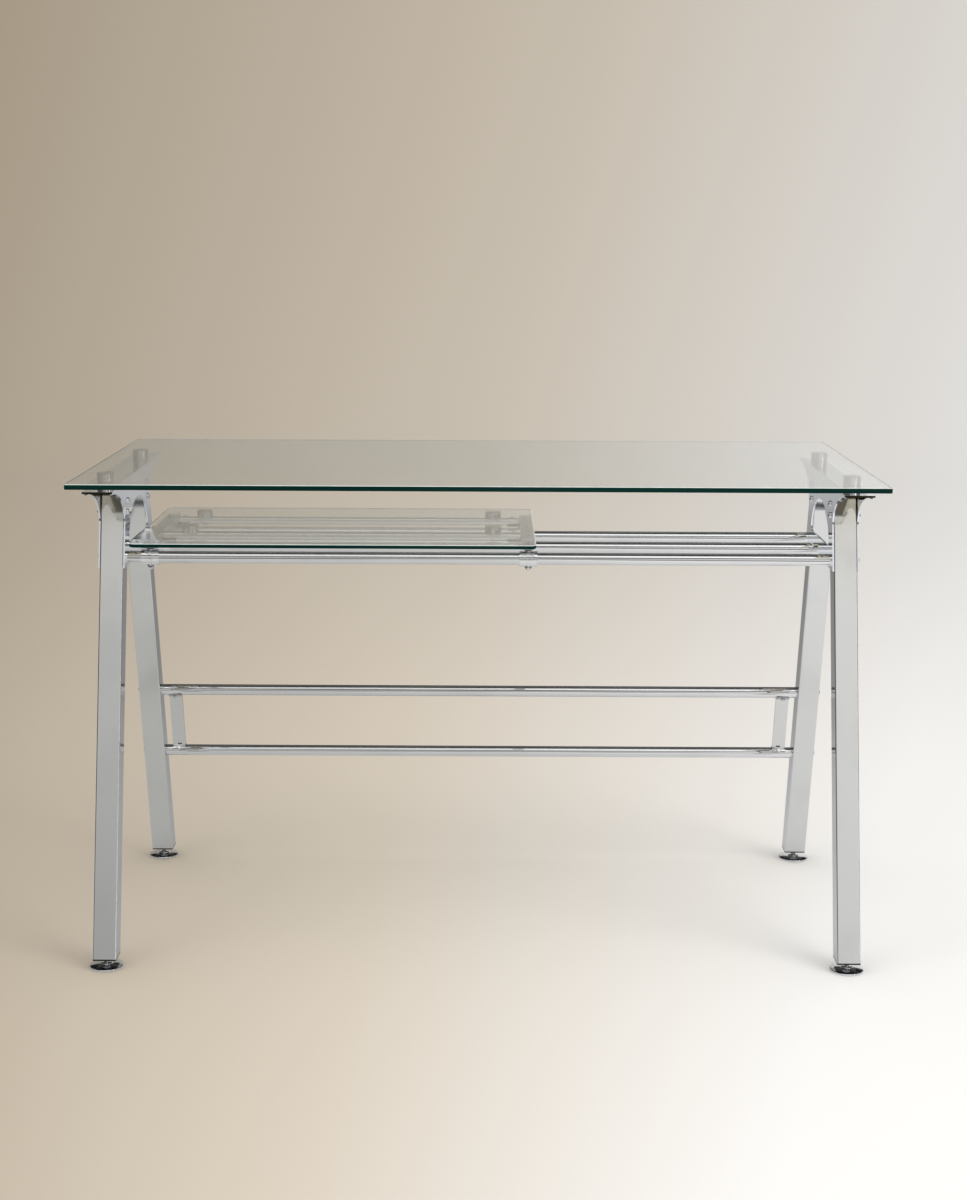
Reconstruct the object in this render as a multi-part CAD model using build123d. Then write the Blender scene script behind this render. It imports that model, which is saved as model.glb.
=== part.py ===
from build123d import *
import os
from math import atan2, cos, radians, sin

# Glass computer desk on two chromed A-frames, with a sliding keyboard tray.
# Frame: origin on the floor at the middle of the desk, +X to the user's right,
# -Y towards the user, +Z up. All values are millimetres.

# Glass desk top
desk_height = 750.0
top_length = 1200.0
top_depth = 600.0
top_thickness = 8.0
top_corner_radius = 3.0
glass_arris = 0.8

# Discs bonded under the desk top, each screwed down to a head flange
top_disc_diameter = 27.0
top_disc_height = 14.0
top_disc_spacing = 300.0

# Leaning square-tube legs
leg_width = 36.0
leg_wall = 1.5
leg_corner_radius = 2.0
leg_inset = 32.0
foot_inset = 27.5
head_spread = 155.0
leg_foot_gap = 18.0

# End caps, threaded inserts and levelling feet
cap_flange_height = 2.2
cap_plug_depth = 30.0
insert_diameter = 13.0
insert_height = 16.0
stem_diameter = 8.0
stem_top_height = 44.0
leveller_diameter = 52.0
leveller_rim_height = 4.0
leveller_hub_diameter = 18.0
leveller_hub_height = 7.0
leveller_edge = 1.0

# Head brackets: two side plates with an arched window, and a flange on top
plate_thickness = 2.5
flange_thickness = 3.0
flange_width = 46.0
flange_end_inset = 78.0
flange_overhang = 7.0
flare_height = 57.0
flare_tip_height = 3.0
window_top_margin = 33.5
window_corner_radius = 6.0
band_below_rail = 14.0
band_above_rail = 18.0

# Bolts through the head plates and leg tops
head_bolt_diameter = 6.0
head_bolt_head_diameter = 10.5
head_bolt_head_height = 2.8
head_bolt_heights = (50.0, 67.0)
cap_nut_flats = 10.0
cap_nut_base = 2.6
cap_nut_dome_radius = 4.0

# Round rails, stretchers and the plugs and bolts in their ends
rail_diameter = 19.0
rail_wall = 1.2
rail_drop = 139.0
stretcher_heights = (211.0, 327.5)
end_plug_length = 22.0
end_bolt_diameter = 6.0
end_bolt_engagement = 18.0
end_bolt_head_diameter = 11.0
end_bolt_head_height = 3.6
rail_spacer_diameter = 14.0

# Braces between the two stretchers
brace_width = 22.0
brace_thickness = 4.0
brace_leg_gap = 13.0
saddle_thickness = 2.5
saddle_half_angle = 60.0
brace_screw_angle = 40.0
brace_screw_diameter = 4.0
brace_screw_head_diameter = 8.0
brace_screw_head_height = 2.6
brace_screw_length = 9.0

# Clamps that carry the tray slides on the rails
clamp_width = 28.0
clamp_thickness = 2.5
clamp_split = 0.8
clamp_rib_width = 4.0
clamp_rib_height = 1.0
clamp_boss_diameter = 12.0
clamp_boss_height = 1.5
clamp_spacer_diameter = 10.0
clamp_spacer_height = 3.0
clamp_bolt_diameter = 5.0
clamp_bolt_head_diameter = 9.0
clamp_bolt_head_height = 2.0
clamp_nut_flats = 8.0
clamp_nut_base = 2.5
clamp_nut_dome_radius = 3.2

# Ball-bearing slides: fixed outer member, ball retainer, moving inner member
slide_length = 250.0
slide_travel = 180.0
slide_width = 18.0
slide_height = 10.2
outer_web = 1.2
outer_wall = 2.2
outer_wall_height = 8.2
ball_channel = 1.8
inner_wall = 2.0
inner_web = 1.5
ball_radius = 1.5
ball_height = 4.7
ball_pitch = 14.0
balls_per_row = 5
retainer_thickness = 0.8
retainer_web = 0.6
retainer_height = 5.5
stop_thickness = 1.0

# Tray carriers, cross tubes and the discs under the tray glass
carrier_thickness = 1.5
carrier_side_gap = 1.0
carrier_screw_diameter = 4.0
carrier_screw_head_diameter = 7.6
carrier_screw_head_height = 2.2
carrier_screw_pitch = 100.0
carrier_floor_gap = 1.2
tab_length = 20.5
tab_width = 20.0
cross_tube_diameter = 12.0
cross_tube_wall = 1.2
cross_tube_end_gap = 0.5
cross_tube_screw_setback = 11.0
rear_tube_inset = 23.0
cross_tube_spacing = 157.0
tray_disc_diameter = 27.0
tray_disc_height = 13.0
tray_disc_seat = 2.0
tray_disc_spacing = 478.0
tray_screw_diameter = 5.0
tray_screw_head_diameter = 8.0
tray_screw_head_height = 1.8
tray_screw_engagement = 5.0

# Tray glass
tray_length = 606.0
tray_depth = 375.0
tray_thickness = 6.0
tray_corner_radius = 10.0
tray_side_gap = 28.0
tray_front_setback = 53.0

# Clearances
fit_gap = 0.1
running_gap = 0.05
ball_gap = 0.15
slide_gap = 0.3
bolt_gap = 0.2
socket_share = 0.45
socket_depth_share = 0.6
cut_overrun = 5.0

# Levels and centre lines worked out from the sizes above
top_underside = desk_height - top_thickness
flange_top = top_underside - top_disc_height
flange_underside = flange_top - flange_thickness
leg_x = top_length / 2 - leg_inset
foot_y = top_depth / 2 - foot_inset
head_y = head_spread / 2
lean_slope = (foot_y - head_y) / flange_underside
lean_angle = atan2(lean_slope, 1.0)
leg_half_y = leg_width / 2 / cos(lean_angle)
plate_inner_x = leg_x - leg_width / 2 - plate_thickness
plate_outer_x = leg_x + leg_width / 2 + plate_thickness
rail_z = desk_height - rail_drop
rail_radius = rail_diameter / 2
band_bottom = rail_z - band_below_rail
window_base = rail_z + band_above_rail
flare_base = flange_underside - flare_height
flange_half = top_depth / 2 - flange_end_inset
sides = {"left": -1, "right": 1}
ends = {"front": -1, "rear": 1}


def leg_y(height):
    """Distance of a leg's centre line from the desk's middle plane at a height."""
    return foot_y - lean_slope * height


rail_lines = {"front": -leg_y(rail_z), "middle": 0.0, "rear": leg_y(rail_z)}
stretcher_lines = [(leg_y(height), height) for height in stretcher_heights]

# Tray and slide levels, stacked up from the rails
clamp_radius = rail_radius + clamp_thickness
clamp_boss_top = rail_z + clamp_radius + clamp_boss_height
slide_bottom = clamp_boss_top + clamp_spacer_height
slide_top = slide_bottom + slide_height
web_top = slide_bottom + outer_web
ball_z = slide_bottom + ball_height
inner_width = slide_width - 2 * (outer_wall + ball_channel)
ball_x = (inner_width + ball_channel) / 2
retainer_bottom = web_top + slide_gap
retainer_half = (slide_length - slide_travel) / 2 - stop_thickness - slide_gap
tab_bottom = rail_z + clamp_radius + carrier_floor_gap
cross_tube_z = tab_bottom + carrier_thickness + cross_tube_diameter / 2
cross_tube_top = cross_tube_z + cross_tube_diameter / 2
tray_underside = cross_tube_top - tray_disc_seat + tray_disc_height
tray_left = -plate_inner_x + tray_side_gap
tray_centre_x = tray_left + tray_length / 2
tray_front = -top_depth / 2 + tray_front_setback
tray_centre_y = tray_front + tray_depth / 2
slide_reach = tray_length / 2 - slide_width / 2
carrier_inner = slide_width / 2 + carrier_side_gap
rear_tube_y = tray_front + tray_depth - rear_tube_inset
cross_tube_lines = {"front": rear_tube_y - cross_tube_spacing, "rear": rear_tube_y}
slide_lines = {name: tray_centre_x + side * slide_reach for name, side in sides.items()}
clamp_spots = [(x, y) for x in slide_lines.values() for y in rail_lines.values()]


def rod(radius, start, end):
    """Round bar from one point to another."""
    start, end = Vector(*start), Vector(*end)
    base = Plane(origin=start, z_dir=end - start)
    return extrude(base * Circle(radius), (end - start).length)


def tube(radius, wall, start, end):
    """Round tube from one point to another."""
    return rod(radius, start, end) - rod(radius - wall, start, end)


def block(low, high):
    """Box between two opposite corners."""
    size = [b - a for a, b in zip(low, high)]
    middle = [(a + b) / 2 for a, b in zip(low, high)]
    return Pos(*middle) * Box(*size)


def facing(seat, direction):
    """Plane at a seat point whose normal is the outward direction."""
    return Plane(origin=seat, z_dir=direction)


def dome_screw(shank_diameter, length, head_diameter, head_height):
    """Screw standing on its seat plane: rounded head above, plain shank below."""
    head = extrude(Circle(head_diameter / 2), head_height)
    head = fillet(head.edges().sort_by(Axis.Z)[-1], head_height * socket_depth_share)
    socket = extrude(RegularPolygon(shank_diameter * socket_share, 6), head_height)
    socket = Pos(0, 0, head_height * socket_depth_share) * socket
    shank = extrude(Circle(shank_diameter / 2), -length)
    return head + shank - socket


def dome_nut(flats, base_height, dome_radius, bore_diameter):
    """Cap nut standing on its seat plane: hexagon, dome and a blind bore from below."""
    hexagon = extrude(RegularPolygon(flats / 2, 6, major_radius=False), base_height)
    dome = Pos(0, 0, base_height) * Sphere(dome_radius)
    dome = dome & block((-flats, -flats, base_height), (flats, flats, base_height + 2 * dome_radius))
    bore = extrude(Circle(bore_diameter / 2 + running_gap), base_height + dome_radius / 2)
    return hexagon + dome - bore


def glass_sheet(length, depth, thickness, corner_radius, centre_x, centre_y, underside):
    """Sheet of glass with rounded corners and a ground arris on both faces."""
    sheet = extrude(RectangleRounded(length, depth, corner_radius), thickness)
    rims = sheet.edges().filter_by(Axis.Z, reverse=True)
    sheet = chamfer(rims, glass_arris)
    return Pos(centre_x, centre_y, underside) * sheet


def leg_bar(side, end, width, corner, low, high):
    """Square bar on one leg's centre line, cut level at both ends."""
    foot = Vector(side * leg_x, end * foot_y, 0)
    head = Vector(side * leg_x, end * head_y, flange_underside)
    along = (head - foot).normalized()
    start = Plane(origin=foot - along * width, x_dir=(1, 0, 0), z_dir=along)
    bar = extrude(start * RectangleRounded(width, width, corner), (head - foot).length + 2 * width)
    slab = block((side * leg_x - width, -top_depth, low), (side * leg_x + width, top_depth, high))
    return bar & slab


def head_bolt_points():
    """Places (y, z) of the bolts through the head plates and leg tops."""
    heights = [window_base + rise for rise in head_bolt_heights]
    return [(end * leg_y(z), z) for end in ends.values() for z in heights]


def across_head(side, y, z, diameter):
    """Cutter along X through one whole head at a place (y, z)."""
    reach = leg_width / 2 + plate_thickness + cut_overrun
    x = side * leg_x
    return rod(diameter / 2 + bolt_gap, (x - reach, y, z), (x + reach, y, z))


def make_leg(side, end):
    """Square tube leg with the holes of the bolts that pass through it."""
    inner = leg_width - 2 * leg_wall
    inner_corner = leg_corner_radius / 2
    leg = leg_bar(side, end, leg_width, leg_corner_radius, leg_foot_gap, flange_underside)
    leg -= leg_bar(side, end, inner, inner_corner, leg_foot_gap, flange_underside)
    for y, z in head_bolt_points():
        if y * end > 0:
            leg -= across_head(side, y, z, head_bolt_diameter)
    leg -= across_head(side, end * leg_y(rail_z), rail_z, end_bolt_diameter)
    if end == ends["rear"]:
        for y, z in stretcher_lines:
            leg -= across_head(side, y, z, end_bolt_diameter)
    return leg


def make_end_cap(side, end):
    """Plastic cap that closes a leg's foot and holds the threaded insert."""
    inner = leg_width - 2 * leg_wall - 2 * fit_gap
    flange_low = leg_foot_gap - cap_flange_height
    plug_top = leg_foot_gap + cap_plug_depth
    x, y = side * leg_x, end * leg_y(leg_foot_gap)
    flange = leg_bar(side, end, leg_width, leg_corner_radius, flange_low, leg_foot_gap)
    plug = leg_bar(side, end, inner, leg_corner_radius / 2, leg_foot_gap, plug_top)
    pocket_top = flange_low + insert_height
    pocket = rod(insert_diameter / 2 + running_gap, (x, y, flange_low), (x, y, pocket_top))
    hole = rod(stem_diameter / 2 + bolt_gap, (x, y, flange_low), (x, y, plug_top))
    return flange + plug - pocket - hole


def make_insert(side, end):
    """Threaded steel insert in an end cap; the thread is a plain bore."""
    low = leg_foot_gap - cap_flange_height
    x, y = side * leg_x, end * leg_y(leg_foot_gap)
    body = rod(insert_diameter / 2, (x, y, low), (x, y, low + insert_height))
    return body - rod(stem_diameter / 2 + running_gap, (x, y, low), (x, y, low + insert_height))


def make_leveller(side, end):
    """Levelling foot: round glide disc with a hub and a threaded stem in one piece."""
    rim, hub = leveller_diameter / 2, leveller_hub_diameter / 2
    shoulder = (leveller_rim_height + leveller_hub_height) / 2
    rim_inner = rim - leveller_edge
    stem = stem_diameter / 2
    outline = Polyline(
        (0, 0),
        (rim_inner, 0),
        (rim, leveller_edge),
        (rim, leveller_rim_height - leveller_edge),
        (rim_inner, leveller_rim_height),
        (hub, shoulder),
        (hub - leveller_edge, leveller_hub_height),
        (stem, leveller_hub_height),
        (stem, stem_top_height),
        (0, stem_top_height),
        close=True,
    )
    foot = revolve(Plane.XZ * make_face(outline), Axis.Z)
    return Pos(side * leg_x, end * leg_y(leg_foot_gap), 0) * foot


def make_head_plate(side, inner_x):
    """Side plate of a head: leg-wide skirts, hollow flares up to the flange, arched window."""
    leg_edge = {z: leg_y(z) + leg_half_y for z in (band_bottom, flare_base)}
    tip_y = flange_half - flange_overhang
    tip_z = flange_underside - flare_tip_height
    skirt = Polyline(
        (0, band_bottom),
        (leg_edge[band_bottom], band_bottom),
        (leg_edge[flare_base], flare_base),
    )
    flare = EllipticalCenterArc(
        (tip_y, flare_base), tip_y - leg_edge[flare_base], tip_z - flare_base, start_angle=90, arc_size=90
    )
    crown = Polyline((tip_y, tip_z), (tip_y, flange_underside), (0, flange_underside))
    half = Curve() + [skirt, flare, crown]
    outline = make_face(half + mirror(half, Plane.YZ))
    window_half = leg_y(window_base) - leg_half_y
    window_rise = flange_underside - window_top_margin - window_base
    arch = EllipticalCenterArc((0, window_base), window_half, window_rise, start_angle=0, arc_size=180)
    sill = Line((-window_half, window_base), (window_half, window_base))
    window = make_face(Curve() + [arch, sill])
    window = fillet(window.vertices(), window_corner_radius)
    face_plane = Plane(origin=(side * inner_x, 0, 0), x_dir=(0, 1, 0), z_dir=(1, 0, 0))
    plate = extrude(face_plane * (outline - window), side * plate_thickness)
    for y, z in head_bolt_points():
        plate -= across_head(side, y, z, head_bolt_diameter)
    for y in rail_lines.values():
        plate -= across_head(side, y, rail_z, end_bolt_diameter)
    return plate


def make_head_flange(side):
    """Flat bar on top of a head, drilled for the desk-top disc screws."""
    x = side * leg_x
    low = (x - flange_width / 2, -flange_half, flange_underside)
    high = (x + flange_width / 2, flange_half, flange_top)
    flange = block(low, high)
    flange = fillet(flange.edges().filter_by(Axis.Z), leg_corner_radius)
    for y in (-top_disc_spacing / 2, top_disc_spacing / 2):
        flange -= rod(end_bolt_diameter / 2 + bolt_gap, (x, y, flange_underside), (x, y, flange_top))
    return flange


def top_disc_points():
    """Centres (x, y) of the discs under the desk top."""
    half = top_disc_spacing / 2
    return [(side * leg_x, y) for side in sides.values() for y in (-half, half)]


def make_disc(diameter, height, screw_diameter, engagement, x, y, underside):
    """Bonded disc with a chamfered rim and a blind screw hole from below."""
    disc = extrude(Circle(diameter / 2), height)
    disc = chamfer(disc.edges(), glass_arris)
    disc -= extrude(Circle(screw_diameter / 2 + running_gap), engagement + running_gap)
    return Pos(x, y, underside) * disc


def make_top_disc_screw(x, y):
    """Screw up through the head flange into a desk-top disc."""
    length = flange_thickness + top_disc_height / 2
    screw = dome_screw(end_bolt_diameter, length, end_bolt_head_diameter, end_bolt_head_height)
    return facing((x, y, flange_underside), (0, 0, -1)) * screw


def make_head_bolt(side, y, z):
    """Bolt across a head, with its rounded head on the inner plate."""
    length = leg_width + 2 * plate_thickness + cap_nut_base
    bolt = dome_screw(head_bolt_diameter, length, head_bolt_head_diameter, head_bolt_head_height)
    return facing((side * plate_inner_x, y, z), (-side, 0, 0)) * bolt


def make_head_nut(side, y, z):
    """Cap nut of a head bolt, on the outer plate."""
    nut = dome_nut(cap_nut_flats, cap_nut_base, cap_nut_dome_radius, head_bolt_diameter)
    return facing((side * plate_outer_x, y, z), (side, 0, 0)) * nut


def make_rail(y):
    """Rail between the inner head plates, drilled for the clamp bolts."""
    rail = tube(rail_radius, rail_wall, (-plate_inner_x, y, rail_z), (plate_inner_x, y, rail_z))
    for x in slide_lines.values():
        reach = rail_radius + cut_overrun
        rail -= rod(clamp_bolt_diameter / 2 + bolt_gap, (x, y, rail_z - reach), (x, y, rail_z + reach))
    return rail


def make_end_plug(side, tube_end_x, y, z):
    """Threaded plug pressed into the end of a rail or stretcher."""
    inner_end = side * (tube_end_x - end_plug_length)
    radius = rail_radius - rail_wall - running_gap
    plug = rod(radius, (side * tube_end_x, y, z), (inner_end, y, z))
    return plug - rod(end_bolt_diameter / 2 + running_gap, (side * tube_end_x, y, z), (inner_end, y, z))


def make_end_bolt(side, seat_x, tube_end_x, y, z):
    """Bolt from the outside of a head or leg into a tube's end plug."""
    length = seat_x - tube_end_x + end_bolt_engagement
    bolt = dome_screw(end_bolt_diameter, length, end_bolt_head_diameter, end_bolt_head_height)
    return facing((side * seat_x, y, z), (side, 0, 0)) * bolt


def make_rail_spacer(side):
    """Sleeve that keeps the two head plates apart at the middle rail."""
    y = rail_lines["middle"]
    low, high = side * (leg_x - leg_width / 2), side * (leg_x + leg_width / 2)
    sleeve = rod(rail_spacer_diameter / 2, (low, y, rail_z), (high, y, rail_z))
    return sleeve - rod(end_bolt_diameter / 2 + bolt_gap, (low, y, rail_z), (high, y, rail_z))


def brace_ends():
    """For each brace end: the stretcher's centre and the direction towards the other stretcher."""
    low = Vector(0, *stretcher_lines[0])
    high = Vector(0, *stretcher_lines[1])
    return [(low, (high - low).normalized()), (high, (low - high).normalized())]


def brace_screw_direction(along):
    """Outward direction of a brace screw, turned from the brace's line to the front."""
    turn = radians(brace_screw_angle)
    front = Vector(0, -abs(along.Z), along.Y * (1 if along.Z > 0 else -1))
    return along * cos(turn) + front * sin(turn)


def brace_x(side):
    """Centre of a brace along X."""
    return side * (leg_x - leg_width / 2 - brace_leg_gap - brace_width / 2)


def make_brace(side):
    """Flat brace between the stretchers, with a saddle on each."""
    x = brace_x(side)
    (low, up), (high, _) = brace_ends()
    middle, length = (low + high) / 2, (high - low).length
    strip_plane = Plane(origin=(x, middle.Y, middle.Z), x_dir=(1, 0, 0), z_dir=up)
    brace = strip_plane * Box(brace_width, brace_thickness, length)
    seat = rail_radius + fit_gap
    shell = seat + saddle_thickness
    for centre, along in brace_ends():
        ends_x = [(x - brace_width / 2, centre.Y, centre.Z), (x + brace_width / 2, centre.Y, centre.Z)]
        start = seat * cos(radians(saddle_half_angle))
        saddle_plane = Plane(origin=(x, centre.Y, centre.Z), x_dir=(1, 0, 0), z_dir=along)
        sector = block((-brace_width / 2, -shell, start), (brace_width / 2, shell, shell))
        brace += rod(shell, *ends_x) & (saddle_plane * sector)
        brace -= rod(seat, *ends_x)
        hole_end = Vector(x, centre.Y, centre.Z) + brace_screw_direction(along) * (shell + cut_overrun)
        brace -= rod(brace_screw_diameter / 2 + bolt_gap, (x, centre.Y, centre.Z), tuple(hole_end))
    return brace


def make_brace_screw(side, centre, along):
    """Screw through a brace's saddle into the stretcher."""
    direction = brace_screw_direction(along)
    seat = Vector(brace_x(side), centre.Y, centre.Z)
    seat += direction * (rail_radius + fit_gap + saddle_thickness)
    head = (brace_screw_head_diameter, brace_screw_head_height)
    screw = dome_screw(brace_screw_diameter, brace_screw_length, *head)
    return Plane(origin=seat, x_dir=(1, 0, 0), z_dir=direction) * screw


def make_stretcher(index):
    """Stretcher between the rear legs, drilled for its brace screws."""
    y, z = stretcher_lines[index]
    half = leg_x - leg_width / 2
    stretcher = tube(rail_radius, rail_wall, (-half, y, z), (half, y, z))
    centre, along = brace_ends()[index]
    for side in sides.values():
        start = Vector(brace_x(side), centre.Y, centre.Z)
        hole_end = start + brace_screw_direction(along) * rail_diameter
        stretcher -= rod(brace_screw_diameter / 2 + bolt_gap, tuple(start), tuple(hole_end))
    return stretcher


def make_clamp_half(x, y, up):
    """Half of a rail clamp: shell with a middle rib, and a flat boss on the bolt's line."""
    ends_x = [(x - clamp_width / 2, y, rail_z), (x + clamp_width / 2, y, rail_z)]
    rib_x = [(x - clamp_rib_width / 2, y, rail_z), (x + clamp_rib_width / 2, y, rail_z)]
    boss_end = rail_z + up * (clamp_radius + clamp_boss_height)
    half = rod(clamp_radius, *ends_x) + rod(clamp_radius + clamp_rib_height, *rib_x)
    half += rod(clamp_boss_diameter / 2, (x, y, rail_z), (x, y, boss_end))
    half -= rod(rail_radius + running_gap, *ends_x)
    half -= rod(clamp_bolt_diameter / 2 + bolt_gap, (x, y, rail_z), (x, y, boss_end))
    reach = clamp_radius + clamp_boss_height + cut_overrun
    levels = sorted((rail_z + up * clamp_split / 2, rail_z + up * reach))
    keep = block((x - clamp_width, y - reach, levels[0]), (x + clamp_width, y + reach, levels[1]))
    return half & keep


def clamp_bolt_head(gap):
    """Flat countersunk head, narrowing downwards from its top face."""
    return Cone(
        clamp_bolt_diameter / 2 + gap, clamp_bolt_head_diameter / 2 + gap, clamp_bolt_head_height,
        align=(Align.CENTER, Align.CENTER, Align.MAX),
    )


def make_clamp_spacer(x, y):
    """Plastic spacer between a clamp and the slide it carries."""
    spacer = rod(clamp_spacer_diameter / 2, (x, y, clamp_boss_top), (x, y, slide_bottom))
    spacer -= rod(clamp_bolt_diameter / 2 + bolt_gap, (x, y, clamp_boss_top), (x, y, slide_bottom))
    return spacer - Pos(x, y, web_top) * clamp_bolt_head(running_gap)


def make_clamp_bolt(x, y):
    """Countersunk bolt from the slide down through the clamp and rail."""
    bottom = rail_z - clamp_radius - clamp_boss_height - clamp_nut_base
    shank = rod(clamp_bolt_diameter / 2, (x, y, bottom), (x, y, web_top))
    return shank + Pos(x, y, web_top) * clamp_bolt_head(0)


def make_clamp_nut(x, y):
    """Cap nut under a rail clamp."""
    nut = dome_nut(clamp_nut_flats, clamp_nut_base, clamp_nut_dome_radius, clamp_bolt_diameter)
    return facing((x, y, rail_z - clamp_radius - clamp_boss_height), (0, 0, -1)) * nut


def slide_bar(x, low, high, half_length):
    """Bar along Y between two corners (x, z) measured from a slide's line and bottom."""
    near = (x + low[0], -half_length, slide_bottom + low[1])
    far = (x + high[0], half_length, slide_bottom + high[1])
    return block(near, far)


def ball_race(x, side, half_length):
    """Cutter for one ball race."""
    race_x = x + side * ball_x
    return rod(ball_radius + ball_gap, (race_x, -half_length, ball_z), (race_x, half_length, ball_z))


def make_slide_outer(x):
    """Fixed slide member: channel with a ball race in each wall, a front lug and a rear end plate."""
    half, wide = slide_length / 2, slide_width / 2
    inside = wide - outer_wall
    member = slide_bar(x, (-wide, 0), (wide, outer_wall_height), half)
    member -= slide_bar(x, (-inside, outer_web), (inside, slide_height), half + cut_overrun)
    for side in sides.values():
        member -= ball_race(x, side, half + cut_overrun)
    lug_top = retainer_bottom + retainer_web
    lug_back = -half + stop_thickness
    member += block((x - inner_width / 2, -half, slide_bottom), (x + inner_width / 2, lug_back, lug_top))
    plate_top = slide_bottom + outer_wall_height
    member += block((x - wide, half, slide_bottom), (x + wide, half + stop_thickness, plate_top))
    for y in rail_lines.values():
        member -= rod(clamp_bolt_diameter / 2 + bolt_gap, (x, y, slide_bottom), (x, y, web_top))
        member -= Pos(x, y, web_top) * clamp_bolt_head(running_gap)
    return member


def carrier_screw_lines():
    """Places along Y of the screws that hold a carrier on its slide."""
    return (-carrier_screw_pitch, 0.0, carrier_screw_pitch)


def make_slide_inner(x):
    """Moving slide member: inverted channel with a ball race in each wall and a rear stop."""
    half, wide = slide_length / 2 - slide_gap, inner_width / 2
    wall_bottom = retainer_bottom - slide_bottom + retainer_web + slide_gap
    member = slide_bar(x, (-wide, wall_bottom), (wide, slide_height), half)
    hollow = wide - inner_wall
    member -= slide_bar(x, (-hollow, 0), (hollow, slide_height - inner_web), half + cut_overrun)
    for side in sides.values():
        member -= ball_race(x, side, half + cut_overrun)
    stop_front = half - stop_thickness
    member += block((x - hollow, stop_front, retainer_bottom), (x + hollow, half, slide_top - inner_web))
    hole_radius = carrier_screw_diameter / 2 + running_gap
    for y in carrier_screw_lines():
        member -= rod(hole_radius, (x, y, slide_top - inner_web), (x, y, slide_top))
    return member


def ball_places(x):
    """Centres of the balls of one slide at rest."""
    first = -(balls_per_row - 1) / 2
    rows = [x + side * ball_x for side in sides.values()]
    return [(row, (first + i) * ball_pitch, ball_z) for row in rows for i in range(balls_per_row)]


def make_retainer(x):
    """Ball retainer: thin channel with a hole for each ball."""
    half = ball_x + retainer_thickness / 2
    inside = half - retainer_thickness
    low, top = retainer_bottom, retainer_bottom + retainer_height
    retainer = block((x - half, -retainer_half, low), (x + half, retainer_half, top))
    retainer -= block((x - inside, -retainer_half, low + retainer_web), (x + inside, retainer_half, top))
    for row, y, z in ball_places(x):
        hole = ((row - retainer_thickness, y, z), (row + retainer_thickness, y, z))
        retainer -= rod(ball_radius + fit_gap, *hole)
    return retainer


def make_carrier(x, inward):
    """Tray carrier: flange on the slide, side web, and a tab under each cross tube."""
    half = slide_length / 2 - slide_gap
    top = slide_top + carrier_thickness
    near = x + inward * carrier_inner
    web_x = sorted((near, near + inward * carrier_thickness))
    flange_x = sorted((x - inward * slide_width / 2, near + inward * carrier_thickness))
    tab_x = sorted((near, near + inward * (carrier_thickness + tab_length)))
    tab_top = tab_bottom + carrier_thickness
    screw_x = near + inward * (carrier_thickness + cross_tube_screw_setback)
    carrier = block((flange_x[0], -half, slide_top), (flange_x[1], half, top))
    carrier += block((web_x[0], -half, tab_bottom), (web_x[1], half, top))
    for y in cross_tube_lines.values():
        tab_y = (y - tab_width / 2, min(y + tab_width / 2, half))
        carrier += block((tab_x[0], tab_y[0], tab_bottom), (tab_x[1], tab_y[1], tab_top))
        hole_radius = carrier_screw_diameter / 2 + running_gap
        carrier -= rod(hole_radius, (screw_x, y, tab_bottom), (screw_x, y, cross_tube_z))
    for y in carrier_screw_lines():
        carrier -= rod(carrier_screw_diameter / 2 + bolt_gap, (x, y, slide_top), (x, y, top))
    return carrier


def make_carrier_screw(x, y):
    """Screw from a carrier's flange down into the slide's inner member."""
    length = carrier_thickness + inner_web
    head = (carrier_screw_head_diameter, carrier_screw_head_height)
    screw = dome_screw(carrier_screw_diameter, length, *head)
    return Pos(x, y, slide_top + carrier_thickness) * screw


def cross_tube_screw_xs():
    """Places along X of the screws at the two ends of a cross tube."""
    setback = carrier_inner + carrier_thickness + cross_tube_screw_setback
    return [x - side * setback for x, side in zip(slide_lines.values(), sides.values())]


def tray_disc_xs():
    """Places along X of the discs under the tray glass."""
    return [tray_centre_x + side * tray_disc_spacing / 2 for side in sides.values()]


def make_cross_tube(y):
    """Round tube under the tray glass, drilled for its end screws and disc screws."""
    reach = slide_reach - carrier_inner - carrier_thickness - cross_tube_end_gap
    low_x, high_x = tray_centre_x - reach, tray_centre_x + reach
    radius = cross_tube_diameter / 2
    bar = tube(radius, cross_tube_wall, (low_x, y, cross_tube_z), (high_x, y, cross_tube_z))
    holes = [(x, carrier_screw_diameter) for x in cross_tube_screw_xs()]
    holes += [(x, tray_screw_diameter) for x in tray_disc_xs()]
    for x, diameter in holes:
        low, high = (x, y, cross_tube_z - cross_tube_diameter), (x, y, cross_tube_z + cross_tube_diameter)
        bar -= rod(diameter / 2 + bolt_gap, low, high)
    return bar


def make_cross_tube_screw(x, y):
    """Screw down through a cross tube's end into the carrier's tab."""
    length = cross_tube_diameter + carrier_thickness
    head = (carrier_screw_head_diameter, carrier_screw_head_height)
    screw = dome_screw(carrier_screw_diameter, length, *head)
    return Pos(x, y, cross_tube_top) * screw


def make_tray_disc(x, y):
    """Disc bonded under the tray glass, seated in a groove on its cross tube."""
    underside = tray_underside - tray_disc_height
    engagement = tray_disc_seat + tray_screw_engagement
    disc = make_disc(tray_disc_diameter, tray_disc_height, tray_screw_diameter, engagement, x, y, underside)
    groove = rod(
        cross_tube_diameter / 2 + running_gap,
        (x - tray_disc_diameter, y, cross_tube_z), (x + tray_disc_diameter, y, cross_tube_z),
    )
    return disc - groove


def make_tray_disc_screw(x, y):
    """Screw up through a cross tube into a tray disc."""
    length = cross_tube_diameter + tray_screw_engagement
    screw = dome_screw(tray_screw_diameter, length, tray_screw_head_diameter, tray_screw_head_height)
    return facing((x, y, cross_tube_z - cross_tube_diameter / 2), (0, 0, -1)) * screw


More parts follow.
